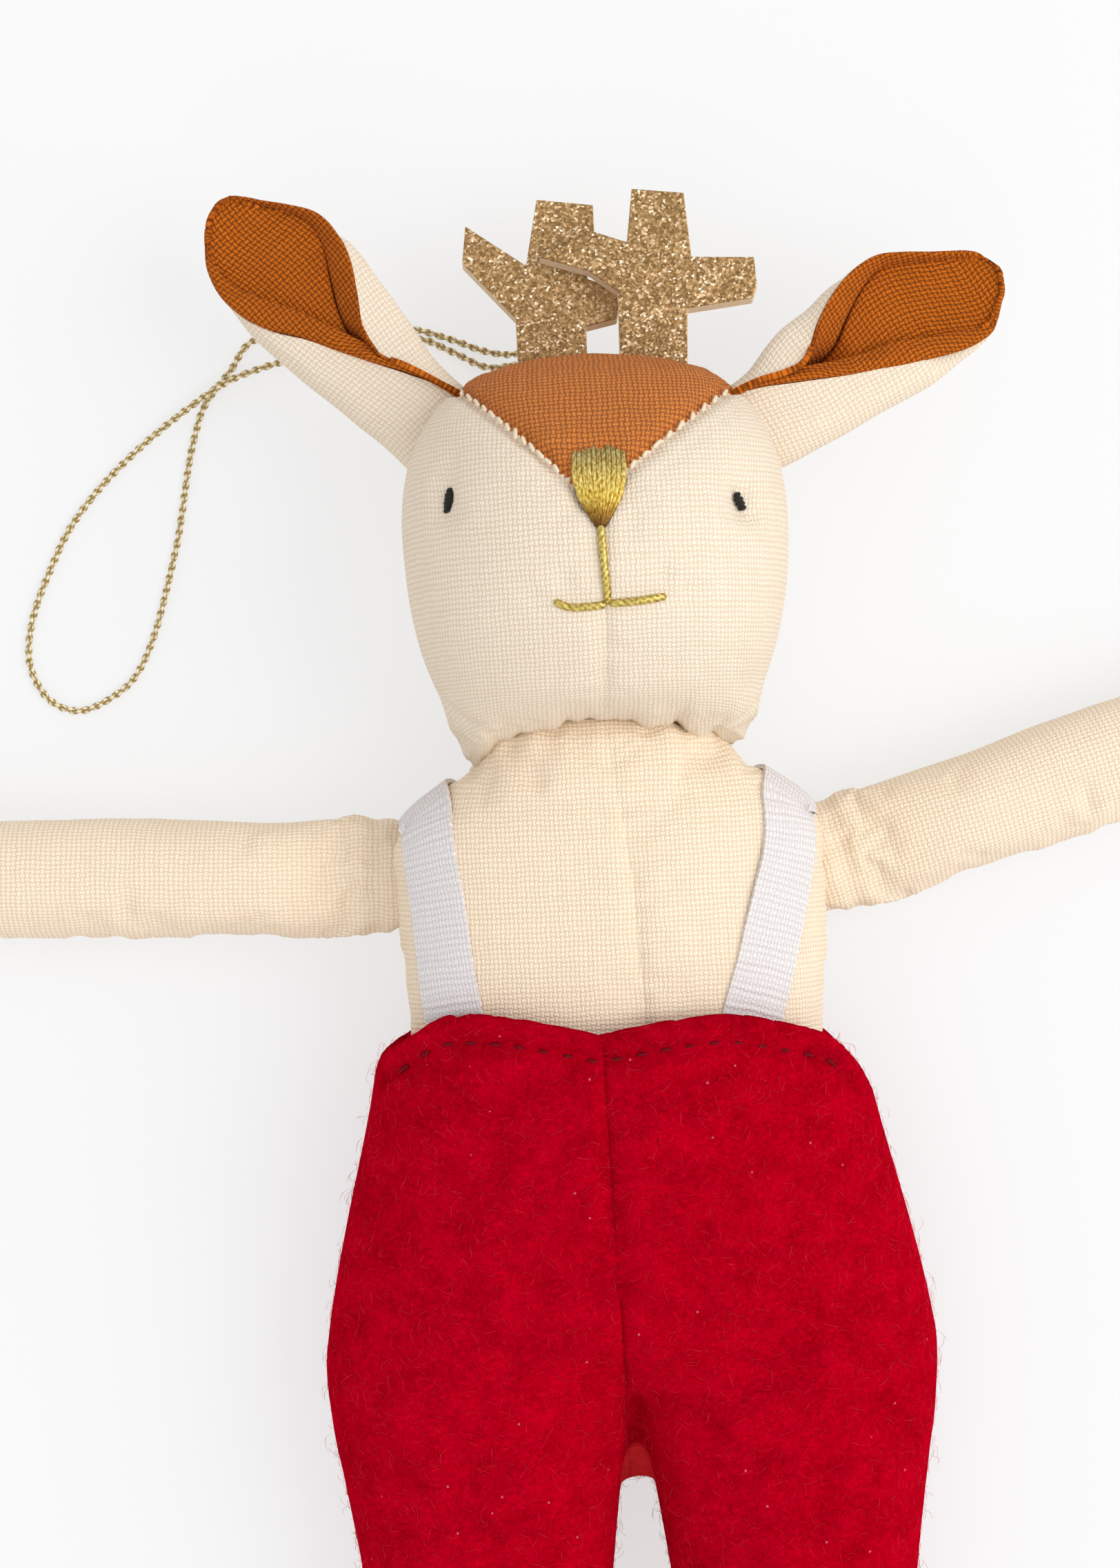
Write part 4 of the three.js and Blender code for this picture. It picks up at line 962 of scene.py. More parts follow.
mouthRun = joinAll([longStitch("mouth_left", [(-5.5, 33.5), (-4.2, 32.8), (-2.6, 32.6), (0.7, 32.7)]),
                    longStitch("mouth_right", [(0.9, 32.8), (4.2, 33.0), (7.8, 33.4)])], "mouth_threads")
finishPiece(mouthRun, goldThread, "body", ["mouth_stitch"])
lipRun = longStitch("lip_threads", [(0.4, 42.3), (0.55, 38.0), (0.85, 32.8)])
finishPiece(lipRun, goldThread, "body", ["lip_stitch"])

# Eyes: short level stitches of black thread, one above the other, pulled into the stuffing
eyes = {
    "left": {"centre": (-17.9, 46.4), "height": 3.0, "width": 1.0, "stitches": 6, "diameter": 0.62,
             "lean": 0.22},
    "right": {"centre": (17.6, 44.6), "height": 2.2, "width": 0.85, "stitches": 4, "diameter": 0.62,
              "lean": -0.3},
}


def makeEye(name, settings):
    stitches = []
    for k in range(settings["stitches"]):
        t = 1 - 2 * k / (settings["stitches"] - 1)
        x = settings["centre"][0] + settings["lean"] * t
        y = settings["centre"][1] + t * (settings["height"] - settings["diameter"]) / 2
        half = settings["width"] / 2 * (1 - 0.25 * t * t + 0.3 * noise.noise(Vector((k * 1.9, 0.5, 2))))
        places = [onFront(headForm, x + half * s, y + 0.12 * s, -0.95 + 0.45 * (1 - s * s))
                  for s in np.linspace(-1, 1, 5)]
        stitches.append(thread(f"{name}{k}", places, settings["diameter"], around=8))
    eye = joinAll(stitches, f"{name}_eye_threads")
    finishPiece(eye, blackThread, "body", [f"{name}_eye"])


for eyeName, eyeSettings in eyes.items():
    makeEye(eyeName, eyeSettings)
print("face made")


# Ears: a cream back and a rust lining sewn together at the rim, rolled up at the root and open at the tip.
# Each station across an ear: share of its length, outer wall, rim, crease, inner fold, lower rim, lower wall,
# rim height
ears = {
    "seating": 0.17,
    "foot": 5.2,
    "cover": 0.3,
    "left": {
        "side": -1, "length": 38.6, "rise": 51.2, "root": (-19.1, 56.7, 20.6),
        "stations": [
            (-0.2, -5.2, -4.7, -4.2, -4.6, -4.4, 5.2, 10.4), (0, -5.9, -5.2, -4.7, -5.2, -4.9, 5.5, 10.5),
            (0.1, -5.5, -4.0, -3.6, -4.2, -3.7, 5.9, 10.4), (0.2, -5.4, -2.5, -2.1, -2.7, -1.7, 6.6, 10.1),
            (0.3, -5.9, -0.9, -0.7, -1.1, 0.5, 7.2, 9.5), (0.4, -6.3, -1.5, 0.2, 0.5, 2.6, 7.9, 8.9),
            (0.5, -6.8, -3.7, -0.8, 2.0, 4.6, 8.4, 8.2), (0.6, -7.3, -5.8, -2.7, 3.6, 7.1, 8.9, 7.3),
            (0.7, -7.1, -6.8, -4.7, 5.7, 8.5, 9.0, 6.3), (0.79, -6.2, -6.5, -5.2, 7.2, 8.8, 8.9, 5.4),
            (0.88, -4.2, -4.4, -3.5, 7.0, 7.9, 8.0, 4.6), (0.94, -2.4, -2.6, -1.9, 5.9, 6.4, 6.4, 4.2),
            (0.985, -1.1, -1.3, -0.7, 4.4, 4.7, 4.6, 4.0), (1.01, -0.1, -0.2, 0.2, 3.0, 3.2, 3.1, 3.9),
            (1.023, 1.4, 1.35, 1.4, 1.5, 1.55, 1.5, 3.9),
        ],
    },
    "right": {
        "side": 1, "length": 35.2, "rise": 27.9, "root": (19.95, 55.0, 20.8),
        "stations": [
            (-0.2, -5.2, -4.6, -4.1, -4.6, -4.4, 5.2, 10.4), (0, -5.6, -4.7, -4.3, -4.8, -4.5, 5.6, 10.5),
            (0.1, -6.0, -4.4, -4.0, -4.6, -3.6, 5.9, 10.4), (0.2, -7.4, -3.6, -3.2, -3.8, -2.2, 6.0, 10.0),
            (0.28, -8.3, -3.7, -2.8, -2.9, -1.1, 6.1, 9.5), (0.4, -9.0, -7.0, -3.5, -1.4, 0.5, 6.1, 8.6),
            (0.5, -9.9, -9.0, -5.9, -0.6, 1.6, 6.2, 7.9), (0.6, -10.2, -10.2, -8.0, 0.0, 2.8, 6.3, 7.1),
            (0.7, -10.1, -10.4, -9.0, 1.2, 3.8, 6.2, 6.1), (0.8, -8.6, -8.9, -7.8, 2.4, 4.6, 6.0, 5.2),
            (0.88, -7.1, -7.4, -6.4, 3.4, 4.8, 5.6, 4.6), (0.94, -6.1, -6.3, -5.4, 3.5, 4.3, 4.9, 4.2),
            (1.0, -4.9, -5.1, -4.2, 1.6, 2.1, 2.2, 4.0), (1.03, -3.8, -4.0, -3.3, 0.6, 1.0, 1.0, 3.9),
            (1.055, -1.5, -1.6, -1.5, -1.3, -1.2, -1.3, 3.9),
        ],
    },
}


def earStation(ear, share):
    # the columns of an ear's table at each share of its length
    shares, *columns = np.array(ear["stations"]).T
    at = np.clip(share, shares[0], shares[-1])
    return [readColumn({"y": shares, "value": values}, "value", at) for values in columns]


def earSection(ear, share, layer):
    # across and up for each point of a section, from the upper rim down into the ear and back to the lower rim
    outer, rim, crease, fold, lowRim, lower, height = earStation(ear, share)
    end = ear["stations"][-1][0]
    closing = np.sqrt(np.clip((end - share) / 0.16, 0, 1))  # the pocket flattens towards its sewn tip
    tip = np.clip((share - 0.66) / 0.12, 0, 1)
    if layer == "outer":
        drop = 0.35 + 0.36 * height * tip
        section = [(rim + 0.4 * tip, height - drop), (outer + 0.35, 0.78 * height - 0.4 * height * tip),
                   (outer + 0.1 + 0.7 * tip, (0.5 - 0.2 * tip) * height), (outer + 1.5, 0.9 - 0.5 * tip),
                   (0.5 * (outer + lower), 0), (lower - 1.6, 0.8 - 0.4 * tip),
                   (lower - 0.5 * tip, (0.42 - 0.12 * tip) * height),
                   (lower - 0.3 - 0.2 * (lower - lowRim) - 0.2 * tip, (0.72 - 0.25 * tip) * height),
                   (lowRim - 0.4 * tip, 0.9 * height - 0.3 - 0.3 * height * tip)]
        return [(across, height - (height - up) * closing - 1.1 * (1 - closing)) for across, up in section]
    open = np.clip((share - 0.3) / 0.15, 0, 1)
    cover = ears["cover"] * open
    flat = np.clip((share - 0.7) / 0.3, 0, 1)
    deep = height * (0.3 + 0.38 * open + 0.1 * flat)
    brow = height * 0.93
    slit = 0.9 * open * (1 - flat)  # the crease itself is a narrow fold
    section = [(rim - cover, height - 0.25 - 0.3 * (1 - open)), (rim - 0.2 * cover, height + 0.08 * open),
               (rim + 0.4 * (crease - rim), height - 0.3 * (height - deep)),
               (crease - 0.28, deep + 0.15 * (height - deep)), (crease, deep - slit),
               (crease + 0.3, deep + 0.1 * (brow - deep)),
               (crease + 0.5 * (fold - crease), deep + 0.22 * (brow - deep)),
               (fold - 0.05, brow - 1.5 * (1 - flat)), (fold - 0.25 * (1 - flat), brow - 0.4 * (1 - flat)),
               (fold + 0.3, brow), (fold + 0.6 * (lowRim - fold), 0.99 * height),
               (lowRim, 0.93 * height + 0.05), (lowRim + cover, 0.9 * height - 0.3 - 0.3 * (1 - open))]
    return [(across, height - (height - up) * closing) for across, up in section]


def curveThrough(points, u):
    # Catmull-Rom through the section's points, for u from 0 to 1
    stack = np.stack([np.stack(np.broadcast_arrays(*p), axis=-1) for p in points])
    stack = np.concatenate([2 * stack[:1] - stack[1:2], stack, 2 * stack[-1:] - stack[-2:-1]])
    place = np.clip(u, 0, 1) * (len(points) - 1)
    k = np.minimum(place.astype(int), len(points) - 2)
    t = (place - k)[:, None]
    rows = np.arange(len(u))
    a, b, c, d = (stack[k + j, rows] for j in range(4))
    return 0.5 * (2 * b + (c - a) * t + (2 * a - 5 * b + 4 * c - d) * t ** 2 + (3 * b - a - 3 * c + d) * t ** 3)


def earFrame(ear):
    rise = math.radians(ear["rise"])
    direction = np.array([ear["side"] * math.cos(rise), math.sin(rise), 0])
    under = np.array([ear["side"] * direction[1], -ear["side"] * direction[0], 0])
    return np.array(ear["root"]), direction, under


def earPoints(ear, u, v, layer):
    root, direction, under = earFrame(ear)
    end = ear["stations"][-1][0]
    share = -ears["seating"] + (end + ears["seating"]) * np.sin(v * math.pi / 2) ** 1.15
    flat = curveThrough(earSection(ear, share, layer), u)
    shortened = 0.985 if layer == "outer" else 1.0  # the lining rolls over the seam at the tip
    return (root + direction * (share * shortened * ear["length"])[:, None] + under * flat[:, :1]
            + np.array([0, 0, 1.0]) * (flat[:, 1:] - ears["foot"]))


def makeEar(name, ear):
    for layer, material, slot in (("outer", paleLinen, "cream_linen"), ("lining", rustLinen, "rust_linen")):
        piece = wrapGrid(f"{name}_ear_{layer}_linen", 130, 120, lambda u, v: earPoints(ear, u, v, layer))
        closeTube(piece, fillEnds=False)
        lumps(piece, 0.15, 6, 15 + ear["side"])
        turnFaces(piece, 1 if layer == "lining" else -1)
        useModifier(piece, "SOLIDIFY", thickness=0.35 * mm, offset=1.0 if layer == "outer" else -1.0)
        crispShade(piece)
        finishPiece(piece, material, None, [f"{name}_ear_{layer}"])
        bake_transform(piece)


def turnFaces(piece, up):
    # the faces of an open sheet point up (1) or down (-1) where it is flattest
    facing = faceNormals(piece)[:, 2]
    if up * facing[np.argsort(-np.abs(facing))[:200]].sum() < 0:
        piece.data.flip_normals()


for earName in ("left", "right"):
    makeEar(earName, ears[earName])
print("ears made")


# Antlers: cut from stiff glitter sheet, the right one in front of the left
antlers = {
    "left": {"low": 15.8, "points": [
        (-8.6, 60.8), (0.2, 60.8), (0.2, 69.1), (4.1, 69.9), (4.9, 73.4), (0.6, 75.1), (1.8, 80.8), (1.8, 84.3),
        (-5.3, 85.3), (-7.0, 77.1), (-14.4, 82.4), (-15.0, 77.7), (-8.6, 70.5)]},
    "right": {"low": 19.2, "points": [
        (4.1, 60.8), (12.5, 60.8), (12.9, 70.3), (21.1, 71.2), (21.7, 72.8), (21.5, 76.3), (13.7, 76.7),
        (13.1, 84.7), (6.6, 85.5), (5.7, 78.9), (1.6, 80.4), (-5.3, 77.5), (0.8, 75.5), (4.3, 72.8)]},
    "thickness": 2.0,
    "slant": 0.5,
}


def makeAntler(name, settings):
    outline, slant, thickness = settings["points"], antlers["slant"], antlers["thickness"]
    deselect()
    bpy.ops.mesh.primitive_circle_add(vertices=len(outline), radius=1, fill_type="NGON")
    piece = bpy.context.object
    piece.name = piece.data.name = f"{name}_antler_sheet"
    placePoints(piece, np.array([(x, y - slant / 2, settings["low"]) for x, y in outline]))
    bpy.ops.object.mode_set(mode="EDIT")
    bpy.ops.mesh.select_all(action="SELECT")
    bpy.ops.mesh.extrude_region_move(TRANSFORM_OT_translate={"value": (0, slant * mm, thickness * mm)})
    bpy.ops.mesh.select_all(action="SELECT")
    bpy.ops.mesh.normals_make_consistent(inside=False)
    bpy.ops.object.mode_set(mode="OBJECT")
    useModifier(piece, "BEVEL", width=0.15 * mm, segments=2, limit_method="ANGLE", angle_limit=math.radians(30))
    piece.data.materials.clear()
    piece.data.materials.append(goldGlitter)
    piece.data.materials.append(beigeCard)
    piece.data.polygons.foreach_set("material_index", (faceNormals(piece)[:, 2] < 0.5).astype(int))
    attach(piece, "body")
    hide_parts(f"{name}_antler")


for antlerName in ("left", "right"):
    makeAntler(antlerName, antlers[antlerName])
print("antlers made")


# Torso: two front panels and a back panel around one stuffed form
torso = {
    "start": 16.35,
    "length": -76.2,
    "halfWidth": 27.0,
    "depth": 29.0,
    "squareness": 2.2,
    "rows": [(-0.05, 0.1, 0.55, 0.79), (-0.046, 0.27, 0.45, 0.87), (-0.034, 0.42, 0.36, 0.92),
             (-0.017, 0.505, 0.29, 0.95), (0, 0.55, 0.24, 0.965), (0.03, 0.64, 0.16, 0.97),
             (0.06, 0.76, 0.1, 0.972), (0.09, 0.88, 0.06, 0.97), (0.12, 0.96, 0.03, 0.985),
             (0.16, 1.005, 0, 1), (0.24, 1.01, 0, 1),
             (0.33, 0.995, 0.06, 1), (0.39, 0.985, 0.16, 0.985), (0.47, 0.975, 0.18, 0.965),
             (0.62, 0.96, 0.18, 0.93), (0.8, 0.94, 0.16, 0.86), (0.94, 0.88, 0.17, 0.76), (1, 0.7, 0.2, 0.6)],
    "sideSeam": 13.5,
    "centreSeam": [(0.1, 19.2), (2.6, 0.0), (3.7, -24.0)],
    "cloth": 0.6,
}
torsoForm = shareForm(torso)


def torsoSeamX(y):
    seam = np.array(torso["centreSeam"][::-1])
    return np.interp(y, seam[:, 1], seam[:, 0])


def makeTorso(settings):
    shell = wrapForm("torso_front_right_linen", torsoForm, 220, 200)
    lumps(shell, 0.4, 16, 9)
    seam = settings["sideSeam"]
    seamY = np.linspace(18.5, -24, 90)
    centreLine = onFront(torsoForm, torsoSeamX(seamY), seamY)
    sideLines = [sideLine(torsoForm, seam, side) for side in (-1, 1)]
    stuffTight(shell, torsoForm, 80, 70, [centreLine] + sideLines, 0.9, 0.02, 0.45)
    cutAlong(shell, (0, 0, seam), (0, 0, 1))
    top, middle, end = settings["centreSeam"]
    for (startX, startY), (stopX, stopY), keep in ((top, middle, 1), (middle, end, -1)):
        cutAlong(shell, (startX, startY, 0), (startY - stopY, stopX - startX, 0),
                 lambda c: (c[:, 2] > seam) & (keep * (c[:, 1] - middle[1]) > -1))
    behind = faceCentres(shell)[:, 2] < seam
    toLeft = faceCentres(shell)[:, 0] < torsoSeamX(faceCentres(shell)[:, 1])
    sewSeam(shell, centreLine, 0.2, 0.5, pucker=0.25, pitch=2.6, reach=2.4, seed=21)
    # the stitches of the centre seam show as a row of small dents
    for y in np.arange(8, -20, -2.9):
        dimple(shell, onFront(torsoForm, torsoSeamX(y) + 0.15, y), 0.35, 0.45)
    for line, side in zip(sideLines, (-1, 1)):
        sewSeam(shell, line, 0.7, 0.9, pucker=0.3, pitch=2.6, reach=2.4, seed=23 + side)
    domeLine = formPoints(torsoForm, np.linspace(0.02, math.pi - 0.02, 90), np.full(90, 18.0))
    sewSeam(shell, domeLine, 0.0, 1.6, pucker=1.0, pitch=2.8, reach=3.6, seed=27)
    back = splitOff(shell, "torso_back_linen", behind)
    left = splitOff(shell, "torso_front_left_linen", toLeft[~behind])
    for piece, node in ((left, "torso_front_left"), (shell, "torso_front_right"), (back, "torso_back")):
        thicken(piece, settings["cloth"])
        finishPiece(piece, creamLinen, "body", [node])
    fill = makeFill("torso_fill", torsoForm, 1.1, "torso_stuffing", 90, 70)
    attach(fill, "body")


makeTorso(torso)
print("torso made")


# Straps: ribbed tape from inside the waist, over the shoulders and down the back
straps = {
    "width": 7.8,
    "lift": 0.45,
    "tape": 0.6,
    "ribPitch": 1.14,
    "ribHeight": 0.04,
    "front": {"left": [(-19.8, -23.5), (-20.2, -16), (-21.3, -5), (-22.2, 3), (-22.5, 6.6)],
              "right": [(15.2, -23.5), (16.9, -16.5), (19.4, -8), (21.6, 0), (22.4, 6.6)]},
    "over": [(157, 9.0), (180, 10.2), (205, 9.4), (224, 4), (230, -6), (230, -21)],
}


def makeStrap(name, side, settings):
    front = np.array(settings["front"][name], float)
    over = np.array(settings["over"], float)
    turns = np.radians(over[:, 0] if side < 0 else 180 - over[:, 0])
    route = smoothLine(np.vstack([onFront(torsoForm, front[:, 0], front[:, 1]),
                                  formPoints(torsoForm, turns, over[:, 1])]), 721)
    length = np.sum(np.linalg.norm(np.diff(route, axis=0), axis=1))
    route = liftedPoints(torsoForm, angleOn(torsoForm, route), route[:, 1], 0)
    outward = liftedPoints(torsoForm, angleOn(torsoForm, route), route[:, 1], 1) - route
    tangents = np.gradient(route, axis=0)
    across = np.cross(tangents, outward)
    across /= np.linalg.norm(across, axis=1, keepdims=True)

    def surface(u, v):
        rung = np.round(v * 720).astype(int)
        wide = route[rung] + across[rung] * ((u - 0.5) * settings["width"])[:, None]
        rib = settings["ribHeight"] * np.cos(2 * math.pi * v * length / settings["ribPitch"])
        edge = 1 - np.exp(-(np.minimum(u, 1 - u) * settings["width"] / 0.3) ** 2) * 0.6
        lift = settings["lift"] + settings["tape"] + rib * edge
        return liftedPoints(torsoForm, angleOn(torsoForm, wide), wide[:, 1], lift[:, None])

    tape = wrapGrid(f"{name}_strap_tape", 16, 720, surface)
    useModifier(tape, "SOLIDIFY", thickness=settings["tape"] * mm, offset=-1.0)
    crispShade(tape)
    finishPiece(tape, whiteTape, "body", [f"{name}_strap"])
    print(name, "strap length in mm", round(length, 1))


for strapName, strapSide in (("left", -1), ("right", 1)):
    makeStrap(strapName, strapSide, straps)


# Arms: plain stuffed tubes, sewn shut, with their seam on the lower side
arms = {
    "halfWidth": 7.6,
    "thickness": 13.0,
    "rootThickness": 9.0,
    "lift": 2.7,
    "reach": 82.0,
    "rows": [(-0.093, 0.12, 0.3), (-0.08, 0.5, 0.6), (-0.05, 0.8, 0.9), (0, 0.98, 1), (0.06, 1, 1),
             (0.19, 1, 1.44), (0.4, 1.01, 1.44), (0.66, 0.98, 1.42), (0.86, 0.95, 1.37), (0.94, 0.85, 1.22),
             (0.98, 0.62, 0.9),
             (1, 0.2, 0.35)],
    "cloth": 0.6,
    "left": {"side": -1, "rise": 1.7},
    "right": {"side": 1, "rise": 15.6},
    "pivot": (29.4, 1.3),
}
armMiddle = arms["lift"] + arms["thickness"] / 2
armForm = form([(run * arms["reach"], 0, wide * arms["halfWidth"],
                 armMiddle - tall * arms["rootThickness"] / 2, armMiddle + tall * arms["rootThickness"] / 2)
                for run, wide, tall in arms["rows"]], 2.2)


def armMatrix(arm):
    turn = Matrix.Rotation(arm["side"] * math.radians(arm["rise"] - 90), 4, "Z")
    place = Matrix.Translation((arm["side"] * arms["pivot"][0] * mm, arms["pivot"][1] * mm, 0))
    return place @ turn


def makeArm(name, arm):
    matrix = armMatrix(arm)
    cloth = wrapForm(f"{name}_arm_linen", armForm, 110, 200)
    lumps(cloth, 0.3, 9, 31 + arm["side"])
    lower = 0 if arm["side"] > 0 else math.pi
    y = np.linspace(armForm["y"][0] + 2, armForm["y"][-1] - 1, 160)
    seamLine = formPoints(armForm, np.full(160, lower - arm["side"] * 0.35), y)
    rootLine = formPoints(armForm, np.linspace(0, 2 * math.pi, 80), np.full(80, 0.5))
    stuffTight(cloth, armForm, 40, 80, [seamLine, rootLine], 1.0, 0.03, 0.5)
    sewSeam(cloth, seamLine, 0.55, 0.8, pucker=0.35, pitch=2.5, reach=2.4, seed=33)
    sewSeam(cloth, rootLine, 0.4, 1.6, pucker=0.6, pitch=2.6, reach=5.0, seed=35)
    thicken(cloth, arms["cloth"])
    fill = makeFill(f"{name}_arm_fill", armForm, 1.1, f"{name}_arm_stuffing", 40, 60, lengths=(0.2, 1))
    for piece in (cloth, fill):
        piece.data.transform(matrix)
    finishPiece(cloth, creamLinen, None, [f"{name}_arm_cloth"])
    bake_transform(cloth)
    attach(fill, f"{name}_arm")


for armName in ("left", "right"):
    makeArm(armName, arms[armName])
print("arms made")


# Trousers: felt, in two halves that meet in a seam down the middle and under the crotch
trousers = {
    "felt": 1.5,
    "squareness": 2.4,
    "waist": -14.0,
    "seatLength": 46.0,
    "waistHalfWidth": 30.6,
    "flare": 8.4,
    "depth": 33.0,
    "seatRows": [(0, -0.3, 0.01, 0.985), (0.12, -0.1, 0, 1), (0.24, 0.05, 0, 0.99), (0.35, 0.2, 0, 0.98),
                 (0.55, 0.475, 0, 0.92), (0.78, 0.78, 0, 0.83), (1, 1, 0, 0.742), (1.1, 1.0, 0.05, 0.65)],
    "leg": {
        "start": -60.15, "length": -71.0, "apart": 19.65, "halfWidth": 19.35, "depth": 24.5, "squareness": 2.4,
        "rows": [(-0.12, 0.9, 0.92, 0.1, 0.9), (0, 0.98, 1, 0, 1), (0.12, 0.985, 0.985, 0, 0.985),
                 (0.2, 0.99, 0.93, 0, 0.97), (0.4, 0.99, 0.82, 0, 0.94), (0.7, 1, 0.69, 0, 0.88),
                 (1, 1.02, 0.57, 0, 0.82), (1.06, 1.02, 0.55, 0, 0.82)],
    },
    "waistEdge": [(-32.2, -27.5), (-31.2, -24.3), (-30.4, -21.5), (-29.2, -20.0), (-27.4, -18.7),
                  (-25.2, -17.3), (-22.6, -15.8), (-19, -15.4), (-13.2, -16), (-6.4, -17.5), (-2.75, -18.3), (1.2, -17.9),
                  (7, -17.1), (13.8, -16.8), (20.5, -18.2), (24.2, -19.2), (26.4, -20.1), (28.0, -21.6),
                  (29.4, -23.4), (30.6, -25.6), (31.8, -28.6)],
    "web": [(-80, 4, 0.05, 5), (-78, 7.5, 0, 9), (-70, 9, 0, 12), (-60, 9, 0, 14)],
    "webArch": {"middle": 0.5, "halfWidth": 4.2, "start": -70.0, "fade": 7.0, "rise": 1.7, "top": 14.0},
    "hemRoll": {"middle": 1.7, "width": 1.2, "height": 0.7, "edge": 1.3, "tuck": 1.2, "end": 31.5, "fade": 5.0},
    "waves": {"height": 0.35, "size": 7, "seed": 61, "reach": 6.0},
    "voxel": 0.9,
    "hemBand": 3.6,
    "hem": -131.0,
    "seam": [(-2.2, -18.0), (-1.0, -66.0)],
    "seamEnd": -85.0,
}
seatForm = form([(trousers["waist"] - run * trousers["seatLength"], 0,
                  trousers["waistHalfWidth"] + flare * trousers["flare"], low * trousers["depth"],
                  high * trousers["depth"]) for run, flare, low, high in trousers["seatRows"]],
                trousers["squareness"], restCut)


def waistEdge(x):
    spline = form([(px, py, 0, 0, 0) for px, py in trousers["waistEdge"]], 2)
    return readColumn(spline, "x", np.clip(x, spline["y"][0], spline["y"][-1]))


def makeTrousers(settings):
    parts = [wrapForm("trousers_right_felt", seatForm, 90, 50)]
    parts += [wrapForm(f"leg{side}", shareForm(settings["leg"], side), 70, 70) for side in (-1, 1)]
    parts.append(wrapForm("web", form([(y, 0, *row) for y, *row in settings["web"]], 2.2), 24, 20))
    shell = joinAll(parts, "trousers_right_felt")
    useModifier(shell, "REMESH", mode="VOXEL", voxel_size=settings["voxel"] * mm, use_smooth_shade=True)
    useModifier(shell, "SMOOTH", factor=0.5, iterations=10)
    # the waist opens above the wavy edge, and the legs open at the hem
    centres = faceCentres(shell)
    above = centres[:, 1] > waistEdge(centres[:, 0])
    dropFaces(shell, above | (centres[:, 1] < settings["hem"]))
    points = pointsOf(shell)
    rim = rimPoints(shell)
    limit = waistEdge(points[:, 0])
    top = rim & (points[:, 1] > -60)
    points[top, 1] = limit[top]
    bottom = rim & (points[:, 1] < -100)
    points[bottom, 1] = settings["hem"]
    placePoints(shell, points, lowest=0)
    # the lower edge of the web between the legs arches up
    arch, points = settings["webArch"], pointsOf(shell)
    rise = np.clip(1 - ((points[:, 0] - arch["middle"]) / arch["halfWidth"]) ** 2, 0, 1)
    rise *= np.clip((arch["start"] - points[:, 1]) / arch["fade"], 0, 1)
    points[:, 1] += arch["rise"] * rise * (points[:, 2] < arch["top"])
    placePoints(shell, points)
    # the hem is turned in: a soft roll above its stitches, drawn in at the edge
    points = pointsOf(shell)
    below = waistEdge(points[:, 0]) - points[:, 1]
    hem, waves = settings["hemRoll"], settings["waves"]
    roll = hem["height"] * np.exp(-((below - hem["middle"]) / hem["width"]) ** 2)
    roll -= hem["tuck"] * np.clip(1 - below / hem["edge"], 0, 1) ** 2
    roll *= np.clip((hem["end"] - np.abs(points[:, 0])) / hem["fade"], 0, 1)
    roll += waves["height"] * rowNoise(points, waves["size"], waves["seed"]) * np.exp(-below / waves["reach"])
    pushOut(shell, roll)
    return shell


def rimPoints(piece):
    # the corners along the open edges
    mesh = piece.data
    count = np.bincount(readAll(mesh.loops, "edge_index", kind=int), minlength=len(mesh.edges))
    rim = np.zeros(len(mesh.vertices), bool)
    rim[readAll(mesh.edges, "vertices", 2, int)[count == 1]] = True
    return rim


def finishTrousers(shell, settings):
    (topX, topY), (endX, endY) = settings["seam"]
    cutAlong(shell, (topX, topY, 0), (topY - endY, endX - topX, 0), lambda c: c[:, 1] > settings["seamEnd"])
    centres = faceCentres(shell)
    seamX = topX + (endX - topX) * (topY - centres[:, 1]) / (topY - endY)
    toLeft = centres[:, 0] < np.where(centres[:, 1] < settings["seamEnd"], 0, seamX)
    front = onFront(seatForm, *straight((topX, topY), (endX, -66.0), 60))
    sewSeam(shell, front, 0.8, 1.0, pucker=0.25, pitch=4, reach=3, seed=41)
    hemX = np.linspace(-29.5, 29.5, 120)
    hemLine = onFront(seatForm, hemX, waistEdge(hemX) - settings["hemBand"])
    sewSeam(shell, hemLine, 1.1, 1.0, pucker=0.3, pitch=3, reach=2, seed=43)
    left = splitOff(shell, "trousers_left_felt", toLeft)
    for piece, side in ((left, "left"), (shell, "right")):
        roots, facing = faceCentres(piece), faceNormals(piece)
        useModifier(piece, "SOLIDIFY", thickness=settings["felt"] * mm, offset=-1.0)
        piece.data.shade_smooth()
        fibres = looseFibres(f"{side}_felt_fibres", roots, facing, fuzz)
        finishPiece(piece, crimsonFelt, None, [f"trouser_seat_{side}", f"{side}_trouser_leg"])
        finishPiece(fibres, litWoolFibre)
        for part in (piece, fibres):
            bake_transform(part)


# Loose wool fibres that stand off the felt, each a thin closed strand that tapers to both ends
fuzz = {"fibres": 4200, "length": (0.8, 2.8), "thickness": (0.035, 0.06), "rise": (0.05, 0.7), "bend": 1.3,
        "seed": 71}


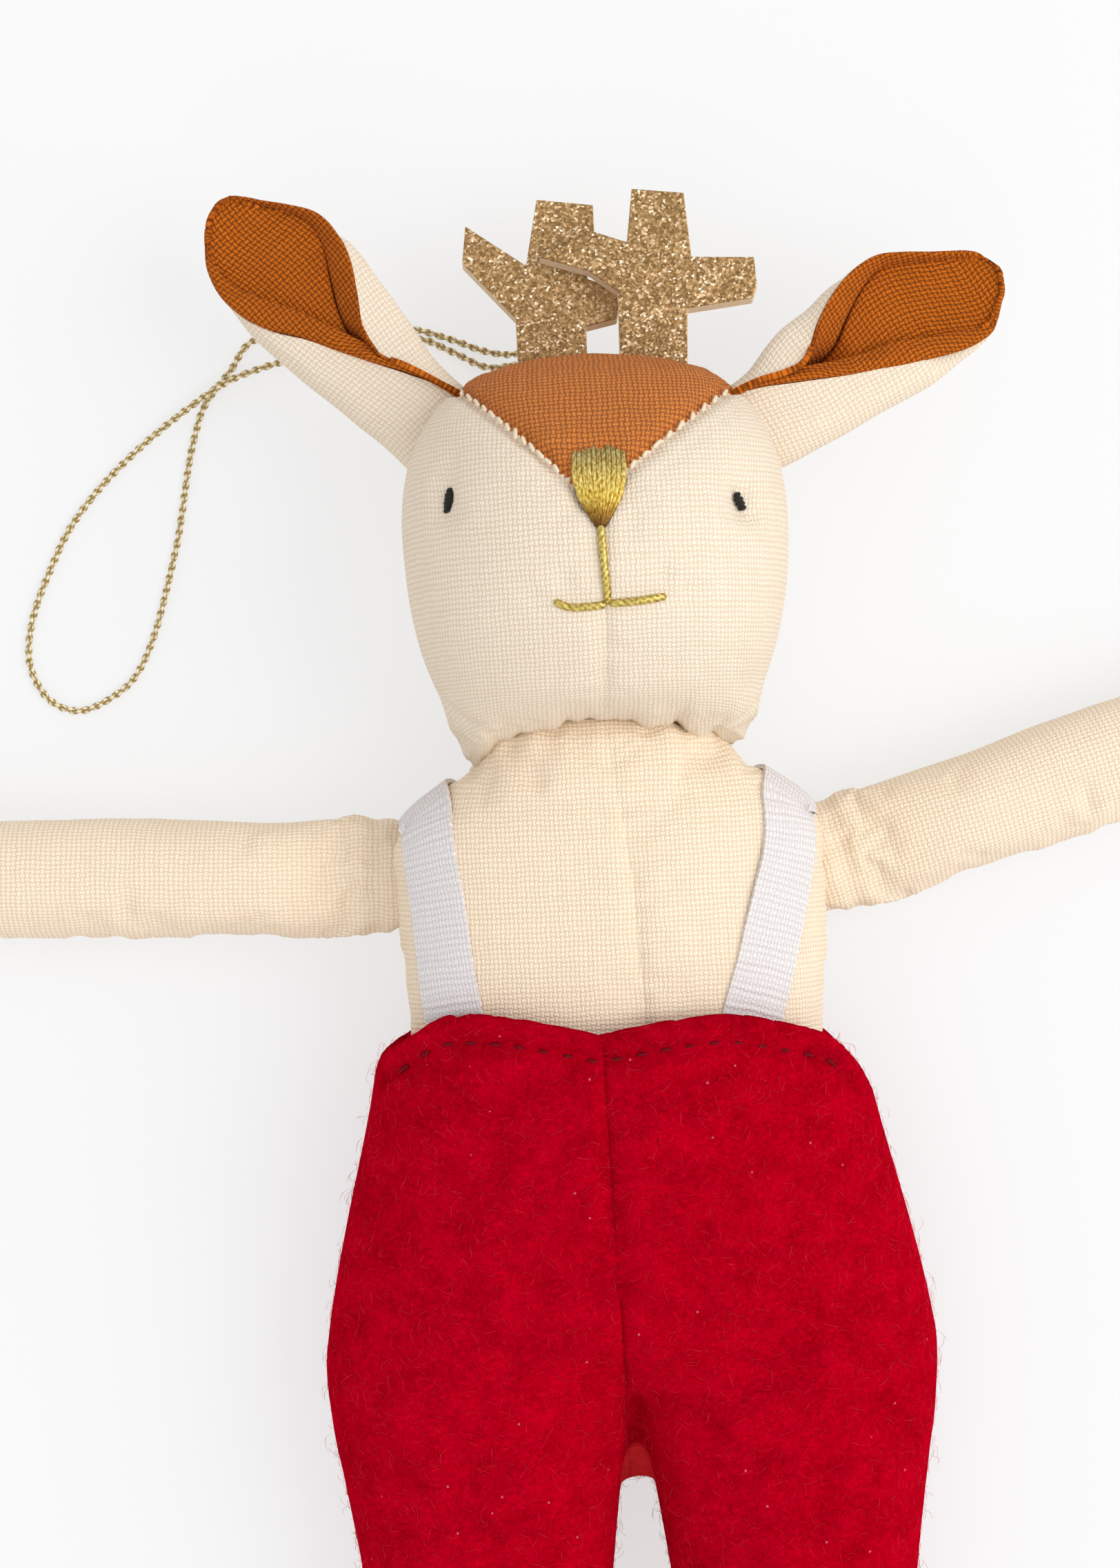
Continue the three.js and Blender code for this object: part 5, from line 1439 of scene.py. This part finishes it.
def looseFibres(name, roots, facing, settings):
    dice = np.random.default_rng(settings["seed"])
    chosen = dice.integers(0, len(roots), settings["fibres"])
    start, up = roots[chosen], facing[chosen]
    side = np.cross(up, dice.normal(size=up.shape))
    side /= np.linalg.norm(side, axis=1, keepdims=True)
    other = np.cross(up, side)
    length = dice.uniform(*settings["length"], len(chosen))
    thick = dice.uniform(*settings["thickness"], len(chosen)) / 2
    rise = settings["rise"][0] + (settings["rise"][1] - settings["rise"][0]) * dice.random(len(chosen)) ** 2.5
    bend = dice.normal(size=len(chosen)) * settings["bend"]
    rings = 5

    def surface(u, v):
        row = np.round(v * (len(chosen) * rings - 1)).astype(int)
        k, share = row // rings, (row % rings) / (rings - 1)
        turned = bend[k] * share
        line = (start[k] - 0.05 * up[k]
                + side[k] * (length[k] * share * np.cos(turned))[:, None]
                + other[k] * (length[k] * share * np.sin(turned))[:, None]
                + up[k] * (length[k] * rise[k] * np.sin(share * 2.2) * 0.8)[:, None])
        radius = thick[k] * np.sin(math.pi * share)
        angle = 2 * math.pi * u
        made = line + (np.cos(angle) * radius)[:, None] * other[k] + (np.sin(angle) * radius)[:, None] * up[k]
        made[:, 2] = np.maximum(made[:, 2], 0)
        return made

    piece = wrapGrid(name, 3, len(chosen) * rings - 1, surface)
    # the faces that would link one fibre to the next go
    rows = readAll(piece.data.loops, "vertex_index", kind=int).reshape(-1, 4) // 4
    dropFaces(piece, rows.min(axis=1) // rings != rows.max(axis=1) // rings)
    closeTube(piece, fillEnds=False, merge=0.001)
    piece.data.shade_smooth()
    return piece


trouserShell = makeTrousers(trousers)
finishTrousers(trouserShell, trousers)


# Running stitches along the hem of the waist
hemThread = {"first": -28.0, "count": 19, "pitch": 3.0, "length": 1.3, "diameter": 0.38, "sunk": 1.0}


def makeHemStitches(settings):
    stitches = []
    for k in range(settings["count"]):
        start = settings["first"] + k * settings["pitch"]
        places = np.linspace(start, start + settings["length"], 5)
        lifts = 0.3 * np.sin(np.linspace(0, math.pi, 5)) - settings["sunk"]
        stitches.append(thread(f"hem{k}", [onFront(seatForm, x, waistEdge(x) - trousers["hemBand"], lift)
                                           for x, lift in zip(places, lifts)], settings["diameter"], around=6))
    hemRow = joinAll(stitches, "waist_hem_threads")
    finishPiece(hemRow, crimsonThread, "body", ["waist_hem_stitch"])


makeHemStitches(hemThread)
print("trousers made")


# Legs: stuffed linen tubes inside the trousers, with soft feet below the hems
legs = {
    "start": -60.15, "length": -93.0, "apart": 19.65, "halfWidth": 8.2, "depth": 17.6, "squareness": 2.2,
    "rows": [(-0.02, 1, 0.7, 0.3, 0.85), (0, 1, 1, 0.16, 1), (0.35, 1, 0.98, 0.16, 0.97),
             (0.75, 1.02, 0.95, 0.14, 0.93), (0.86, 1.02, 1, 0.03, 0.93), (0.94, 1.02, 0.9, 0, 0.86),
             (0.985, 1.02, 0.62, 0.1, 0.68), (1, 1.02, 0.3, 0.25, 0.5)],
    "cloth": 0.6,
}


def makeLeg(name, side):
    shape = shareForm(legs, side)
    cloth = wrapForm(f"{name}_leg_linen", shape, 90, 170)
    lumps(cloth, 0.3, 9, 51 + side)
    y = np.linspace(shape["y"][0] + 1, shape["y"][-1] - 1, 160)
    seamLine = formPoints(shape, np.full(160, 0.0 if side < 0 else math.pi), y)
    stuffTight(cloth, shape, 40, 84, [seamLine], 1.0, 0.03, 0.5)
    sewSeam(cloth, seamLine, 0.5, 0.8, pucker=0.3, pitch=2.5, reach=2.4, seed=53)
    thicken(cloth, legs["cloth"])
    finishPiece(cloth, creamLinen, f"{name}_leg", [f"{name}_leg_cloth"])
    fill = makeFill(f"{name}_leg_fill", shape, 1.1, f"{name}_leg_stuffing", 40, 60)
    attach(fill, f"{name}_leg")


for legName, legSide in (("left", -1), ("right", 1)):
    makeLeg(legName, legSide)
print("legs made")


# The cord's knot, pulled up inside the head
turns = np.linspace(0, 2 * math.pi, 25)
knotPath = np.stack([np.sin(turns) + 2 * np.sin(2 * turns), np.cos(turns) - 2 * np.cos(2 * turns),
                     -np.sin(3 * turns)], axis=1) * 0.42 + np.array([-3.6, 60, 12.6])
knot = thread("cord_knot_twist", knotPath, 0.9, around=8)
finishPiece(knot, paleGoldThread, "body", ["cord_knot"])


# Floor and light
bpy.ops.mesh.primitive_plane_add(size=4.0, location=(0, 0, 0))
floor = bpy.context.object
floor.name = "floor"
floorMaterial, _, floorShader = newMaterial("PaleFloor", 0.6)
floorShader.inputs["Base Color"].default_value = linear("#8f8f8f")
floorShader.inputs["Emission Color"].default_value = linear("#fdfdfd")  # opal acrylic lit from below
floorShader.inputs["Emission Strength"].default_value = 0.63
floor.data.materials.append(floorMaterial)

world = bpy.data.worlds.new("Studio")
bpy.context.scene.world = world
world.use_nodes = True
world.node_tree.nodes["Background"].inputs["Color"].default_value = (0.94, 0.96, 1.0, 1)
world.node_tree.nodes["Background"].inputs["Strength"].default_value = 0.89
studioLights = {
    "key": {"place": (0.7, 0.0, 0.75), "size": 0.8, "power": 5.5, "colour": (1.0, 0.985, 0.96)},
    "fill": {"place": (-0.2, -0.6, 0.85), "size": 0.9, "power": 1.2, "colour": (1.0, 0.99, 0.97)},
}
for lightName, light in studioLights.items():
    bpy.ops.object.light_add(type="AREA", location=light["place"])
    lamp = bpy.context.object
    lamp.name = lightName
    lamp.data.size = light["size"]
    lamp.data.energy = light["power"]
    lamp.data.color = light["colour"]
    lamp.rotation_euler = (Vector((0, 0.02, 0)) - Vector(light["place"])).to_track_quat("-Z", "Y").to_euler()
bpy.context.scene.view_settings.view_transform = "Standard"
print("floor and lights placed")
